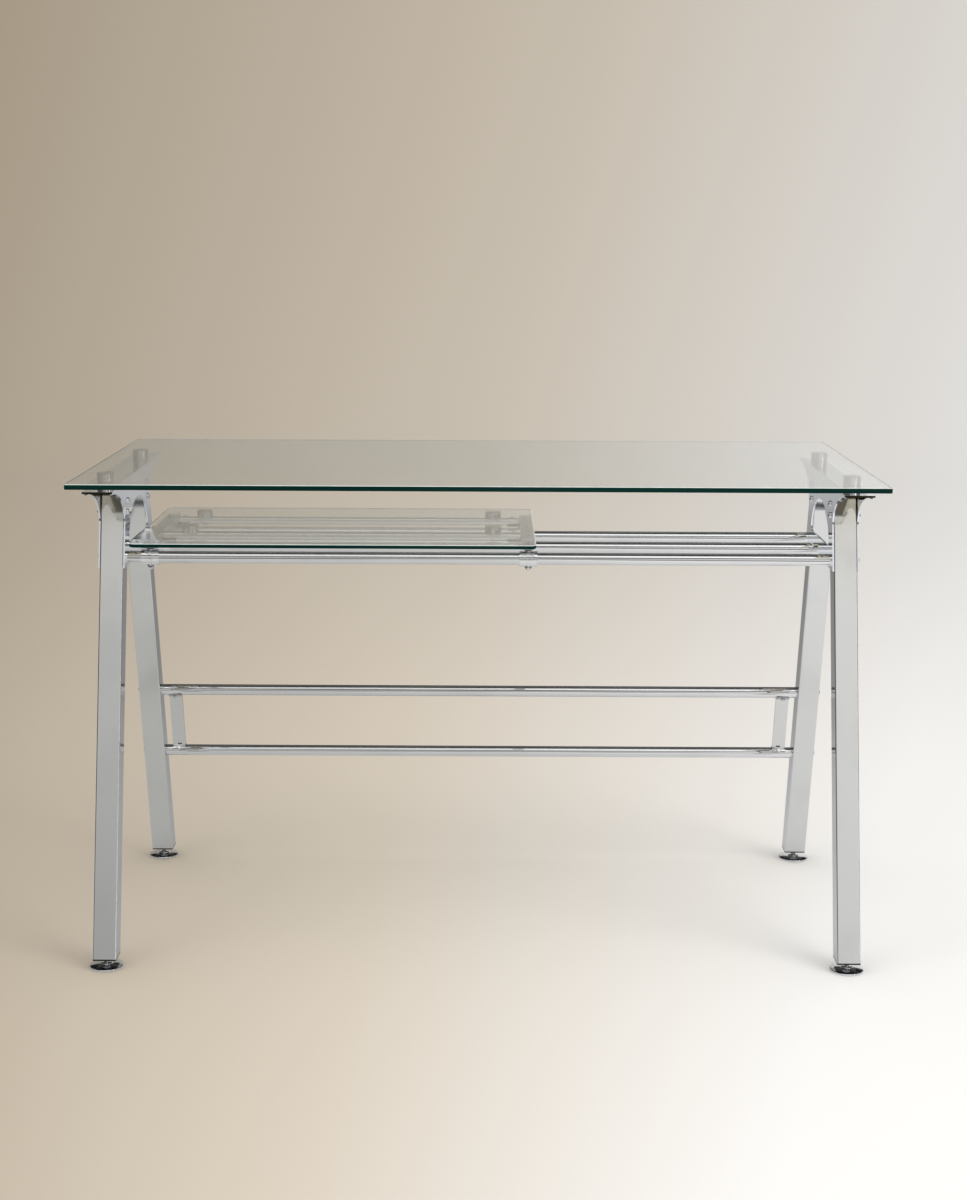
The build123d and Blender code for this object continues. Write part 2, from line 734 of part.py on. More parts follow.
def build_nodes():
    """Every node of the desk as a list of its solids."""
    nodes = {}
    top_sheet = (top_length, top_depth, top_thickness, top_corner_radius)
    tray_sheet = (tray_length, tray_depth, tray_thickness, tray_corner_radius)
    nodes["top_glass"] = [glass_sheet(*top_sheet, 0, 0, top_underside)]
    nodes["tray_glass"] = [glass_sheet(*tray_sheet, tray_centre_x, tray_centre_y, tray_underside)]
    top_disc = (top_disc_diameter, top_disc_height, end_bolt_diameter, top_disc_height / 2)
    nodes["top_discs"] = [make_disc(*top_disc, x, y, flange_top) for x, y in top_disc_points()]
    nodes["top_disc_screws"] = [make_top_disc_screw(x, y) for x, y in top_disc_points()]
    for name, side in sides.items():
        nodes[f"{name}_head_flange"] = [make_head_flange(side)]
        nodes[f"{name}_inner_head_plate"] = [make_head_plate(side, plate_inner_x)]
        nodes[f"{name}_outer_head_plate"] = [make_head_plate(side, plate_outer_x - plate_thickness)]
        nodes[f"{name}_brace"] = [make_brace(side)]
        for end_name, end in ends.items():
            nodes[f"{end_name}_{name}_leg"] = [make_leg(side, end)]
            nodes[f"{end_name}_{name}_end_cap"] = [make_end_cap(side, end)]
            nodes[f"{end_name}_{name}_leveller"] = [make_leveller(side, end)]
    both = list(sides.values())
    nodes["end_cap_inserts"] = [make_insert(side, end) for side in both for end in ends.values()]
    nodes["head_bolts"] = [make_head_bolt(side, y, z) for side in both for y, z in head_bolt_points()]
    nodes["head_cap_nuts"] = [make_head_nut(side, y, z) for side in both for y, z in head_bolt_points()]
    for name, y in rail_lines.items():
        nodes[f"{name}_rail"] = [make_rail(y)]
    for index, name in enumerate(("lower", "upper")):
        nodes[f"{name}_stretcher"] = [make_stretcher(index)]
    leg_inner_x, leg_outer_x = leg_x - leg_width / 2, leg_x + leg_width / 2
    rail_ends = [(side, plate_inner_x, y, rail_z) for side in both for y in rail_lines.values()]
    stretcher_ends = [(side, leg_inner_x, y, z) for side in both for y, z in stretcher_lines]
    nodes["tube_end_plugs"] = [make_end_plug(*place) for place in rail_ends + stretcher_ends]
    nodes["rail_bolts"] = [make_end_bolt(side, plate_outer_x, x, y, z) for side, x, y, z in rail_ends]
    nodes["stretcher_bolts"] = [
        make_end_bolt(side, leg_outer_x, x, y, z) for side, x, y, z in stretcher_ends
    ]
    nodes["rail_spacers"] = [make_rail_spacer(side) for side in both]
    brace_places = [(side, *place) for side in both for place in brace_ends()]
    nodes["brace_screws"] = [make_brace_screw(*place) for place in brace_places]
    nodes["clamp_upper_halves"] = [make_clamp_half(x, y, 1) for x, y in clamp_spots]
    nodes["clamp_lower_halves"] = [make_clamp_half(x, y, -1) for x, y in clamp_spots]
    nodes["clamp_spacers"] = [make_clamp_spacer(x, y) for x, y in clamp_spots]
    nodes["clamp_bolts"] = [make_clamp_bolt(x, y) for x, y in clamp_spots]
    nodes["clamp_nuts"] = [make_clamp_nut(x, y) for x, y in clamp_spots]
    for name, x in slide_lines.items():
        nodes[f"{name}_slide_outer"] = [make_slide_outer(x)]
        nodes[f"{name}_slide_inner"] = [make_slide_inner(x)]
        nodes[f"{name}_ball_retainer"] = [make_retainer(x)]
        nodes[f"{name}_slide_balls"] = [Pos(*place) * Sphere(ball_radius) for place in ball_places(x)]
        nodes[f"{name}_tray_carrier"] = [make_carrier(x, -sides[name])]
    carrier_spots = [(x, y) for x in slide_lines.values() for y in carrier_screw_lines()]
    nodes["carrier_screws"] = [make_carrier_screw(x, y) for x, y in carrier_spots]
    for name, y in cross_tube_lines.items():
        nodes[f"{name}_cross_tube"] = [make_cross_tube(y)]
    tube_ys = list(cross_tube_lines.values())
    tube_end_spots = [(x, y) for x in cross_tube_screw_xs() for y in tube_ys]
    tray_disc_spots = [(x, y) for x in tray_disc_xs() for y in tube_ys]
    nodes["cross_tube_screws"] = [make_cross_tube_screw(x, y) for x, y in tube_end_spots]
    nodes["tray_discs"] = [make_tray_disc(x, y) for x, y in tray_disc_spots]
    nodes["tray_disc_screws"] = [make_tray_disc_screw(x, y) for x, y in tray_disc_spots]
    return nodes


os.makedirs("parts", exist_ok=True)
for node_name, pieces in build_nodes().items():
    solids = [solid for piece in pieces for solid in piece.solids()]
    shape = solids[0] if len(solids) == 1 else Compound(solids)
    export_step(shape, f"parts/{node_name}.step")
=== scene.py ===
import math

import bmesh
import bpy
from bpy.props import FloatProperty, FloatVectorProperty, IntProperty, PointerProperty
from mathutils import Matrix, Vector


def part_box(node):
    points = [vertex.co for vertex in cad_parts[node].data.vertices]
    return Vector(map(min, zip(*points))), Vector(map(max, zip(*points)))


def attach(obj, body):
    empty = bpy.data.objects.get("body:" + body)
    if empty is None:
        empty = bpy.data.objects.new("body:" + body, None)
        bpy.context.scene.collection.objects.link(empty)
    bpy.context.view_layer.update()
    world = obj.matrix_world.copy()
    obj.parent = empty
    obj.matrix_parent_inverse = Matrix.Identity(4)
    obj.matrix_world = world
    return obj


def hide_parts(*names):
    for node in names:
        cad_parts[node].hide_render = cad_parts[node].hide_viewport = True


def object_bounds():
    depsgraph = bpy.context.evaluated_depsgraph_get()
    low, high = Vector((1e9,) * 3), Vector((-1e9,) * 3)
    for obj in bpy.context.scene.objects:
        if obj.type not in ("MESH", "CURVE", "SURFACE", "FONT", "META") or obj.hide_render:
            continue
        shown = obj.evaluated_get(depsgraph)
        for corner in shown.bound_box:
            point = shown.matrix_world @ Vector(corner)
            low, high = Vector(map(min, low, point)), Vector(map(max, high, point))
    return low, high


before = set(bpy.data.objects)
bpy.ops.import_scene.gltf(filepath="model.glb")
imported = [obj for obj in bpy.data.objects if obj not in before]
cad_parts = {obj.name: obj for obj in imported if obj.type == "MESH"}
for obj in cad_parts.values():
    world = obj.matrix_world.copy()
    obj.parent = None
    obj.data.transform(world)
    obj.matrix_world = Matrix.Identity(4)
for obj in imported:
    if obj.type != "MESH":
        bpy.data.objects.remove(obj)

bl_info = {
    "name": "Glass computer desk",
    "version": (1, 0, 0),
    "blender": (4, 5, 0),
    "location": "3D View > Sidebar > Desk",
    "description": "Finishes of a glass desk with chromed A-frames and a sliding keyboard tray",
    "category": "Add Mesh",
}

CAD_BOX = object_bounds()
FEET = ("front_left", "front_right", "rear_left", "rear_right")
MM = 0.001
TURN = 2 * math.pi
SHARP_ANGLE = math.radians(32)
DISC_RADIUS = 13.5 * MM
GLASS_INDEX = 1.5
# Painted reflections on the flanges: pale brown on the underside, dark brown on the end that faces the user.
FLANGE_UNDERSIDE_PAINTED_REFLECTION = (0.60, 0.54, 0.41, 1.0)
FLANGE_END_PAINTED_REFLECTION = (0.10, 0.085, 0.06, 1.0)
# Painted reflection on the legs' tops: dark brown over the last 19 mm under the flange.
LEG_TOP_PAINTED_REFLECTION = (0.13, 0.108, 0.075, 1.0)
LEG_TOP_SHADE = 19 * MM
LEG_SIDE_TINT = (0.78, 0.78, 0.80, 1.0)
BEARING_STEEL = (0.7, 0.7, 0.72, 1.0)
CLAMP_CHROME = (0.97, 0.97, 0.97, 1.0)
BLACK_PLASTIC = (0.0065, 0.0065, 0.007, 1.0)
LAMP_TINT = (0.86, 0.88, 0.87, 1.0)


# ---------------------------------------------------------------- settings

class DeskGlassSettings(bpy.types.PropertyGroup):
    """Sizes and colours of the two glass sheets."""

    clear_tint: FloatVectorProperty(
        name="Clear tint", description="Colour that the glass faces let through", subtype="COLOR",
        size=4, min=0.0, max=1.0, default=(0.955, 0.982, 0.968, 1.0),
    )
    edge_green: FloatVectorProperty(
        name="Edge green", description="Deep green of the polished edges", subtype="COLOR",
        size=4, min=0.0, max=1.0, default=(0.0012, 0.0205, 0.0165, 1.0),
    )
    arris_green: FloatVectorProperty(
        name="Arris green", description="Pale green of the ground arris", subtype="COLOR",
        size=4, min=0.0, max=1.0, default=(0.80, 0.86, 0.82, 1.0),
    )
    arris: FloatProperty(
        name="Arris", description="Width of the ground corner of each edge", unit="LENGTH",
        min=0.0002, max=0.002, default=0.8 * MM, precision=5,
    )
    top_corner: FloatProperty(
        name="Top corner", description="Corner radius of the desk top", unit="LENGTH",
        min=0.001, default=3 * MM, precision=5,
    )
    tray_corner: FloatProperty(
        name="Tray corner", description="Corner radius of the tray glass", unit="LENGTH",
        min=0.001, default=10 * MM, precision=5,
    )
    bond_gap: FloatProperty(
        name="Bond gap", description="Adhesive film between the glass and its discs", unit="LENGTH",
        min=0.0, default=0.05 * MM, precision=6,
    )


class DeskMetalSettings(bpy.types.PropertyGroup):
    """Colours of the chromed, zinc-plated and satin metals."""

    chrome: FloatVectorProperty(
        name="Chrome", description="Bright chrome of the tubes", subtype="COLOR",
        size=4, min=0.0, max=1.0, default=(0.86, 0.86, 0.865, 1.0),
    )
    leg_chrome: FloatVectorProperty(
        name="Leg chrome", description="Chrome of the square legs", subtype="COLOR",
        size=4, min=0.0, max=1.0, default=(0.775, 0.775, 0.765, 1.0),
    )
    # The plates' blue tint is a painted reflection of a bluish room.
    plate_chrome: FloatVectorProperty(
        name="Plate chrome", description="Chrome of the head plates and flanges", subtype="COLOR",
        size=4, min=0.0, max=1.0, default=(0.90, 0.94, 1.0, 1.0),
    )
    satin_steel: FloatVectorProperty(
        name="Satin steel", description="Turned steel of the glass discs", subtype="COLOR",
        size=4, min=0.0, max=1.0, default=(0.80, 0.80, 0.79, 1.0),
    )
    zinc: FloatVectorProperty(
        name="Zinc", description="Zinc plate of inserts and plugs", subtype="COLOR",
        size=4, min=0.0, max=1.0, default=(0.62, 0.63, 0.66, 1.0),
    )
    aluminium: FloatVectorProperty(
        name="Aluminium", description="Satin aluminium of the tray carriers", subtype="COLOR",
        size=4, min=0.0, max=1.0, default=(0.72, 0.73, 0.74, 1.0),
    )


class DeskFootSettings(bpy.types.PropertyGroup):
    """Sizes of the levelling feet."""

    rim_height: FloatProperty(
        name="Rim height", description="Height of the glide's rim", unit="LENGTH",
        min=0.001, default=3.6 * MM, precision=5,
    )
    rim_round: FloatProperty(
        name="Rim round", description="Rounding of the glide's rim", unit="LENGTH",
        min=0.0002, default=1.0 * MM, precision=5,
    )
    hub_radius: FloatProperty(
        name="Hub radius", description="Radius of the hub on the glide", unit="LENGTH",
        min=0.002, default=9 * MM, precision=5,
    )
    hub_height: FloatProperty(
        name="Hub height", description="Level of the hub's top", unit="LENGTH",
        min=0.002, default=7 * MM, precision=5,
    )
    stem_radius: FloatProperty(
        name="Stem radius", description="Crest radius of the stem's thread", unit="LENGTH",
        min=0.001, default=4 * MM, precision=5,
    )
    thread_depth: FloatProperty(
        name="Thread depth", description="Depth of the thread", unit="LENGTH",
        min=0.0001, default=0.45 * MM, precision=5,
    )
    thread_pitch: FloatProperty(
        name="Thread pitch", description="Rise of the thread in one turn", unit="LENGTH",
        min=0.0003, default=1.25 * MM, precision=5,
    )
    segments: IntProperty(name="Segments", description="Steps around the glide", min=24, default=96)


class DeskStageSettings(bpy.types.PropertyGroup):
    """Floor, sweep, lights and camera."""

    # The three paper colours paint a fade of light and shade over floor and sweep.
    paper_near: FloatVectorProperty(
        name="Paper, shaded corner", description="Colour of the floor and sweep at the upper left",
        subtype="COLOR", size=4, min=0.0, max=1.0, default=(0.38, 0.305, 0.212, 1.0),
    )
    paper_middle: FloatVectorProperty(
        name="Paper, middle", description="Colour of the floor and sweep in the middle", subtype="COLOR",
        size=4, min=0.0, max=1.0, default=(0.68, 0.604, 0.503, 1.0),
    )
    paper_far: FloatVectorProperty(
        name="Paper, lit corner", description="Colour of the floor and sweep at the lower right",
        subtype="COLOR", size=4, min=0.0, max=1.0, default=(0.885, 0.872, 0.853, 1.0),
    )
    even_light: FloatProperty(
        name="Even light", description="Strength of the room's light on dull surfaces", default=1.06,
    )
    floor_radius: FloatProperty(
        name="Floor radius", description="Radius of the flat floor", unit="LENGTH", min=2.0, default=6.0,
    )
    sweep_rise: FloatProperty(
        name="Sweep rise", description="Height of the sweep's curve", unit="LENGTH", min=1.0, default=5.0,
    )
    camera_distance: FloatProperty(
        name="Camera distance", description="Camera to the middle of the desk", unit="LENGTH",
        min=1.0, default=3.0832, precision=4,
    )
    camera_height: FloatProperty(
        name="Camera height", description="Camera above the floor", unit="LENGTH",
        min=0.2, default=1.1258, precision=4,
    )
    camera_side: FloatProperty(
        name="Camera side step", description="Camera to the right of the middle", unit="LENGTH",
        default=0.0166, precision=4,
    )
    camera_tilt: FloatProperty(
        name="Camera tilt", description="Angle of the view below level", subtype="ANGLE",
        default=math.radians(11.043),
    )
    camera_pan: FloatProperty(
        name="Camera pan", description="Turn of the view to the left", subtype="ANGLE",
        default=math.radians(0.165),
    )
    camera_roll: FloatProperty(
        name="Camera roll", description="Turn about the line of sight", subtype="ANGLE",
        default=math.radians(0.243),
    )
    lens: FloatProperty(name="Lens", description="Focal length in millimetres", min=20.0, default=58.17)
    key_power: FloatProperty(
        name="Key power", description="Power of the key light in watts", default=42.0,
    )
    top_power: FloatProperty(
        name="Top power", description="Power of the overhead light in watts", default=12.0,
    )
    fill_power: FloatProperty(
        name="Fill power", description="Power of the fill light in watts", default=7.0,
    )
    strip_power: FloatProperty(
        name="Strip power", description="Power of the strip light in watts", default=12.0,
    )
    sky_strength: FloatProperty(
        name="Sky strength", description="Strength of the room's light in polished parts", default=1.0,
    )


# ---------------------------------------------------------------- node helpers

def add_node(tree, kind, at=(0, 0), **values):
    """New node in a tree with its plain properties set."""
    node = tree.nodes.new(kind)
    node.location = at
    for key, value in values.items():
        setattr(node, key, value)
    return node


def math_node(tree, operation, a, b=None, clamp=False):
    """Math node on two values or sockets; returns its output."""
    node = add_node(tree, "ShaderNodeMath", operation=operation, use_clamp=clamp)
    for socket, value in zip(node.inputs, (a, b)):
        if value is None:
            continue
        if isinstance(value, bpy.types.NodeSocket):
            tree.links.new(value, socket)
        else:
            socket.default_value = value
    return node.outputs[0]


def remap(tree, value, low, high, to_low, to_high, smooth=False):
    """Map Range node; returns its output."""
    node = add_node(tree, "ShaderNodeMapRange")
    node.interpolation_type = "SMOOTHSTEP" if smooth else "LINEAR"
    tree.links.new(value, node.inputs["Value"])
    for name, number in (("From Min", low), ("From Max", high), ("To Min", to_low), ("To Max", to_high)):
        if isinstance(number, bpy.types.NodeSocket):
            tree.links.new(number, node.inputs[name])
        else:
            node.inputs[name].default_value = number
    return node.outputs["Result"]


def blend_colours(tree, factor, a, b):
    """Mix node between two colours, plain or linked; returns its colour output."""
    node = add_node(tree, "ShaderNodeMix", data_type="RGBA")
    tree.links.new(factor, node.inputs["Factor"])
    for socket, value in ((node.inputs[6], a), (node.inputs[7], b)):
        if isinstance(value, bpy.types.NodeSocket):
            tree.links.new(value, socket)
        else:
            socket.default_value = value
    return node.outputs[2]


def mix_shaders(tree, factor, a, b):
    """Mix of two shaders; returns its output."""
    mix = add_node(tree, "ShaderNodeMixShader")
    for socket, value in zip(mix.inputs, (factor, a, b)):
        tree.links.new(value, socket)
    return mix.outputs[0]


def scaled(colour, factor):
    """A colour made lighter or darker."""
    return (*[min(1.0, channel * factor) for channel in colour[:3]], 1.0)


def new_group(name, inputs, outputs):
    """Shader node group with named float and vector sockets."""
    tree = bpy.data.node_groups.new(name, "ShaderNodeTree")
    kinds = {"value": "NodeSocketFloat", "vector": "NodeSocketVector", "colour": "NodeSocketColor"}
    for label, kind, default in inputs:
        socket = tree.interface.new_socket(label, in_out="INPUT", socket_type=kinds[kind])
        socket.default_value = default
    for label, kind in outputs:
        tree.interface.new_socket(label, in_out="OUTPUT", socket_type=kinds[kind])
    return tree, add_node(tree, "NodeGroupInput").outputs, add_node(tree, "NodeGroupOutput").inputs


def use_group(tree, group, **values):
    """A shader group placed in a material with its own values; underscores stand for spaces."""
    node = add_node(tree, "ShaderNodeGroup", node_tree=group)
    for key, value in values.items():
        socket = node.inputs[key.replace("_", " ")]
        if isinstance(value, bpy.types.NodeSocket):
            tree.links.new(value, socket)
        else:
            socket.default_value = value
    return node.outputs


def polish_group():
    """Plated finish: faint haze in the polish and a slow ripple in the metal."""
    tree, given, out = new_group(
        "Plated polish",
        [("Vector", "vector", (0, 0, 0)), ("Roughness", "value", 0.05), ("Haze", "value", 0.03),
         ("Haze Scale", "value", 9.0), ("Ripple Scale", "value", 30.0), ("Fine Scale", "value", 900.0)],
        [("Roughness", "value"), ("Height", "value"), ("Mask", "value")],
    )
    haze = add_node(tree, "ShaderNodeTexNoise")
    ripple = add_node(tree, "ShaderNodeTexNoise")
    fine = add_node(tree, "ShaderNodeTexNoise")
    layers = ((haze, "Haze Scale", 5.0), (ripple, "Ripple Scale", 1.0), (fine, "Fine Scale", 2.0))
    for noise, scale, detail in layers:
        tree.links.new(given["Vector"], noise.inputs["Vector"])
        tree.links.new(given[scale], noise.inputs["Scale"])
        noise.inputs["Detail"].default_value = detail
    mask = remap(tree, haze.outputs["Fac"], 0.42, 0.68, 0.0, 1.0, smooth=True)
    rough = math_node(tree, "MULTIPLY_ADD", mask, given["Haze"])
    tree.links.new(given["Roughness"], rough.node.inputs[2])
    fine_share = 0.015
    height = math_node(tree, "MULTIPLY_ADD", fine.outputs["Fac"], fine_share)
    tree.links.new(ripple.outputs["Fac"], height.node.inputs[2])
    tree.links.new(rough, out["Roughness"])
    tree.links.new(height, out["Height"])
    tree.links.new(mask, out["Mask"])
    return tree


def grain_group():
    """Long fine lines, as on drawn tube, brushed sheet or folded steel."""
    tree, given, out = new_group(
        "Drawn grain",
        [("Vector", "vector", (0, 0, 0)), ("Stretch", "vector", (1, 1, 1)), ("Density", "value", 1.0)],
        [("Grain", "value"), ("Streak", "value")],
    )
    pulled = add_node(tree, "ShaderNodeVectorMath", operation="MULTIPLY")
    tree.links.new(given["Vector"], pulled.inputs[0])
    tree.links.new(given["Stretch"], pulled.inputs[1])
    lines = add_node(tree, "ShaderNodeTexNoise")
    streaks = add_node(tree, "ShaderNodeTexNoise")
    streak_share = 0.18
    for noise, detail, share in ((lines, 3.0, 1.0), (streaks, 2.0, streak_share)):
        tree.links.new(pulled.outputs[0], noise.inputs["Vector"])
        tree.links.new(math_node(tree, "MULTIPLY", given["Density"], share), noise.inputs["Scale"])
        noise.inputs["Detail"].default_value = detail
    tree.links.new(remap(tree, lines.outputs["Fac"], 0.3, 0.7, 0.0, 1.0), out["Grain"])
    tree.links.new(remap(tree, streaks.outputs["Fac"], 0.35, 0.65, 0.0, 1.0), out["Streak"])
    return tree


def turned_group():
    """Concentric turning marks round four like centres, set out evenly about a middle."""
    tree, given, out = new_group(
        "Turned rings",
        [("Vector", "vector", (0, 0, 0)), ("Middle", "vector", (0, 0, 0)), ("Spread", "vector", (0, 0, 0)),
         ("Pitch", "value", 0.0004)],
        [("Rings", "value"), ("Sweep", "value")],
    )
    moved = add_node(tree, "ShaderNodeVectorMath", operation="SUBTRACT")
    folded = add_node(tree, "ShaderNodeVectorMath", operation="ABSOLUTE")
    centred = add_node(tree, "ShaderNodeVectorMath", operation="SUBTRACT")
    tree.links.new(given["Vector"], moved.inputs[0])
    tree.links.new(given["Middle"], moved.inputs[1])
    tree.links.new(moved.outputs[0], folded.inputs[0])
    tree.links.new(folded.outputs[0], centred.inputs[0])
    tree.links.new(given["Spread"], centred.inputs[1])
    parts = add_node(tree, "ShaderNodeSeparateXYZ")
    tree.links.new(centred.outputs[0], parts.inputs[0])
    x_squared = math_node(tree, "MULTIPLY", parts.outputs[0], parts.outputs[0])
    y_squared = math_node(tree, "MULTIPLY", parts.outputs[1], parts.outputs[1])
    radius = math_node(tree, "SQRT", math_node(tree, "ADD", x_squared, y_squared))
    across = math_node(tree, "ADD", radius, parts.outputs[2])
    phase = math_node(tree, "MULTIPLY", math_node(tree, "DIVIDE", across, given["Pitch"]), TURN)
    rings = math_node(tree, "MULTIPLY_ADD", math_node(tree, "SINE", phase), 0.5)
    rings.node.inputs[2].default_value = 0.5
    angle = math_node(tree, "ARCTAN2", parts.outputs[1], parts.outputs[0])
    tree.links.new(rings, out["Rings"])
    tree.links.new(math_node(tree, "SINE", math_node(tree, "MULTIPLY", angle, 2.0)), out["Sweep"])
    return tree


def moulding_group():
    """Fine spark-eroded grain of moulded plastic, with faint flow marks."""
    tree, given, out = new_group(
        "Moulded grain",
        [("Vector", "vector", (0, 0, 0)), ("Grain Scale", "value", 1800.0), ("Flow Scale", "value", 40.0)],
        [("Height", "value"), ("Flow", "value")],
    )
    grain = add_node(tree, "ShaderNodeTexVoronoi", feature="SMOOTH_F1")
    flow = add_node(tree, "ShaderNodeTexNoise")
    for texture, scale in ((grain, "Grain Scale"), (flow, "Flow Scale")):
        tree.links.new(given["Vector"], texture.inputs["Vector"])
        tree.links.new(given[scale], texture.inputs["Scale"])
    tree.links.new(grain.outputs["Distance"], out["Height"])
    tree.links.new(remap(tree, flow.outputs["Fac"], 0.35, 0.65, 0.0, 1.0, smooth=True), out["Flow"])
    return tree


def wear_and_edge_shade_group():
    """Marks where the surface turns a corner, broken up by noise: rubbed wear on brushed metal and plastic,
    painted edge shade on chrome and turned steel.
    """
    tree, given, out = new_group(
        "Edge wear",
        [("Vector", "vector", (0, 0, 0)), ("Width", "value", 0.0008), ("Break Up Scale", "value", 160.0)],
        [("Wear_And_Shade", "value")],
    )
    rounded = add_node(tree, "ShaderNodeBevel", samples=4)
    tree.links.new(given["Width"], rounded.inputs["Radius"])
    true_normal = add_node(tree, "ShaderNodeNewGeometry").outputs["Normal"]
    alike = add_node(tree, "ShaderNodeVectorMath", operation="DOT_PRODUCT")
    tree.links.new(rounded.outputs[0], alike.inputs[0])
    tree.links.new(true_normal, alike.inputs[1])
    corner = remap(tree, alike.outputs["Value"], 0.99, 0.86, 0.0, 1.0, smooth=True)
    rubbed = add_node(tree, "ShaderNodeTexNoise")
    tree.links.new(given["Vector"], rubbed.inputs["Vector"])
    tree.links.new(given["Break Up Scale"], rubbed.inputs["Scale"])
    rubbed.inputs["Detail"].default_value = 3.0
    patches = remap(tree, rubbed.outputs["Fac"], 0.38, 0.6, 0.25, 1.0)
    tree.links.new(math_node(tree, "MULTIPLY", corner, patches), out["Wear_And_Shade"])
    return tree


GROUP_MAKERS = {
    "wear_and_shade": wear_and_edge_shade_group,
    "polish": polish_group,
    "grain": grain_group,
    "turned": turned_group,
    "moulding": moulding_group,
}
groups = {}


def group(name):
    """One of the shared shader groups, built when it is first used."""
    if name not in groups:
        groups[name] = GROUP_MAKERS[name]()
    return groups[name]


def new_material(name, base, roughness, metallic=0.0):
    """Material with a Principled shader; returns the material, its tree, shader and Object coordinates."""
    material = bpy.data.materials.new(name)
    material.use_nodes = True
    tree = material.node_tree
    tree.nodes.clear()
    shader = add_node(tree, "ShaderNodeBsdfPrincipled", (200, 0))
    shader.inputs["Base Color"].default_value = base
    shader.inputs["Roughness"].default_value = roughness
    shader.inputs["Metallic"].default_value = metallic
    output = add_node(tree, "ShaderNodeOutputMaterial", (500, 0))
    tree.links.new(shader.outputs[0], output.inputs["Surface"])
    place = add_node(tree, "ShaderNodeTexCoord", (-700, 0)).outputs["Object"]
    material.diffuse_color = base
    return material, tree, shader, place


def tint_where(tree, shader, mask, tint):
    """Blends a tint into the colour that a shader already has, where a mask is 1."""
    plain = shader.inputs["Base Color"].links[0].from_socket
    tree.links.new(blend_colours(tree, mask, plain, tint), shader.inputs["Base Color"])


def wear_and_shade_edges(tree, shader, place, colour, roughness, width=0.8 * MM):
    """Blends an edge colour into the colour and roughness that a shader already has: lighter rubbed wear on
    brushed metal and plastic, darker painted edge shade on chrome and turned steel.
    """
    edge_wear_and_shade = use_group(tree, group("wear_and_shade"), Vector=place, Width=width)["Wear_And_Shade"]
    tint_where(tree, shader, edge_wear_and_shade, colour)
    rough = math_node(tree, "MULTIPLY_ADD", edge_wear_and_shade, roughness)
    tree.links.new(shader.inputs["Roughness"].links[0].from_socket, rough.node.inputs[2])
    tree.links.new(rough, shader.inputs["Roughness"])


def add_bump(tree, shader, height, distance, strength=1.0):
    """Bump node from a height to a shader's normal."""
    bump = add_node(tree, "ShaderNodeBump")
    bump.inputs["Strength"].default_value = strength
    bump.inputs["Distance"].default_value = distance
    tree.links.new(height, bump.inputs["Height"])
    tree.links.new(bump.outputs[0], shader.inputs["Normal"])


# ---------------------------------------------------------------- materials

def plated(name, colour, roughness, haze, ripple, distance, grain=None, edge_wear_and_shade=0.62):
    """Polished plating: tint and roughness vary with the haze, the surface with a slow ripple; the edges
    carry painted shade.
    """
    material, tree, shader, place = new_material(name, colour, roughness, metallic=1.0)
    polish = use_group(
        tree, group("polish"), Vector=place, Roughness=roughness, Haze=haze, Ripple_Scale=ripple,
    )
    hazed = blend_colours(tree, polish["Mask"], colour, scaled(colour, 0.95))
    tree.links.new(hazed, shader.inputs["Base Color"])
    rough = polish["Roughness"]
    if grain is not None:
        lines = use_group(tree, group("grain"), Vector=place, Stretch=grain, Density=1.0)
        rough = math_node(tree, "MULTIPLY_ADD", lines["Grain"], 0.035)
        tree.links.new(polish["Roughness"], rough.node.inputs[2])
    tree.links.new(rough, shader.inputs["Roughness"])
    # Painted shade: the plating's edges are painted darker.
    wear_and_shade_edges(tree, shader, place, scaled(colour, edge_wear_and_shade), 0.10)
    add_bump(tree, shader, polish["Height"], distance)
    return material


def shader_and_place(material):
    """The shader and the Object coordinates that a finish already has."""
    nodes = material.node_tree.nodes
    shader = next(n for n in nodes if n.type == "BSDF_PRINCIPLED")
    return shader, next(n for n in nodes if n.type == "TEX_COORD").outputs["Object"]


def flange_finish(plate, level):
    """Copy of the plates' finish with painted reflections: pale brown below a level, on the underside, and
    dark brown on the end that faces the user.
    """
    material = plate.copy()
    material.name = "flange_chrome"
    tree = material.node_tree
    shader, place = shader_and_place(material)
    parts = add_node(tree, "ShaderNodeSeparateXYZ")
    tree.links.new(place, parts.inputs[0])
    # Painted reflection: below the level, on the underside, the chrome is painted pale brown.
    tint_where(tree, shader, math_node(tree, "LESS_THAN", parts.outputs[2], level), FLANGE_UNDERSIDE_PAINTED_REFLECTION)
    # Painted reflection: the end that faces the user is painted dark brown.
    facing = add_node(tree, "ShaderNodeSeparateXYZ")
    tree.links.new(add_node(tree, "ShaderNodeNewGeometry").outputs["Normal"], facing.inputs[0])
    front_end = math_node(tree, "LESS_THAN", facing.outputs[1], -0.5)
    tint_where(tree, shader, front_end, FLANGE_END_PAINTED_REFLECTION)
    return material


def leg_finish(colour, level):
    """Chrome of the legs: duller on faces seen at a slant, with a painted reflection in dark brown above a
    level.
    """
    long_lines = (900.0, 900.0, 6.0)
    material = plated("leg_chrome", colour, 0.05, 0.04, 9.0, 0.1 * MM, long_lines)
    tree = material.node_tree
    shader, place = shader_and_place(material)
    shader.inputs["Specular Tint"].default_value = LEG_SIDE_TINT
    parts = add_node(tree, "ShaderNodeSeparateXYZ")
    tree.links.new(place, parts.inputs[0])
    # Painted reflection: the leg's top, just under the flange, is painted dark brown.
    above = remap(tree, parts.outputs[2], level - MM, level + MM, 0.0, 1.0, smooth=True)
    tint_where(tree, shader, above, LEG_TOP_PAINTED_REFLECTION)
    return material


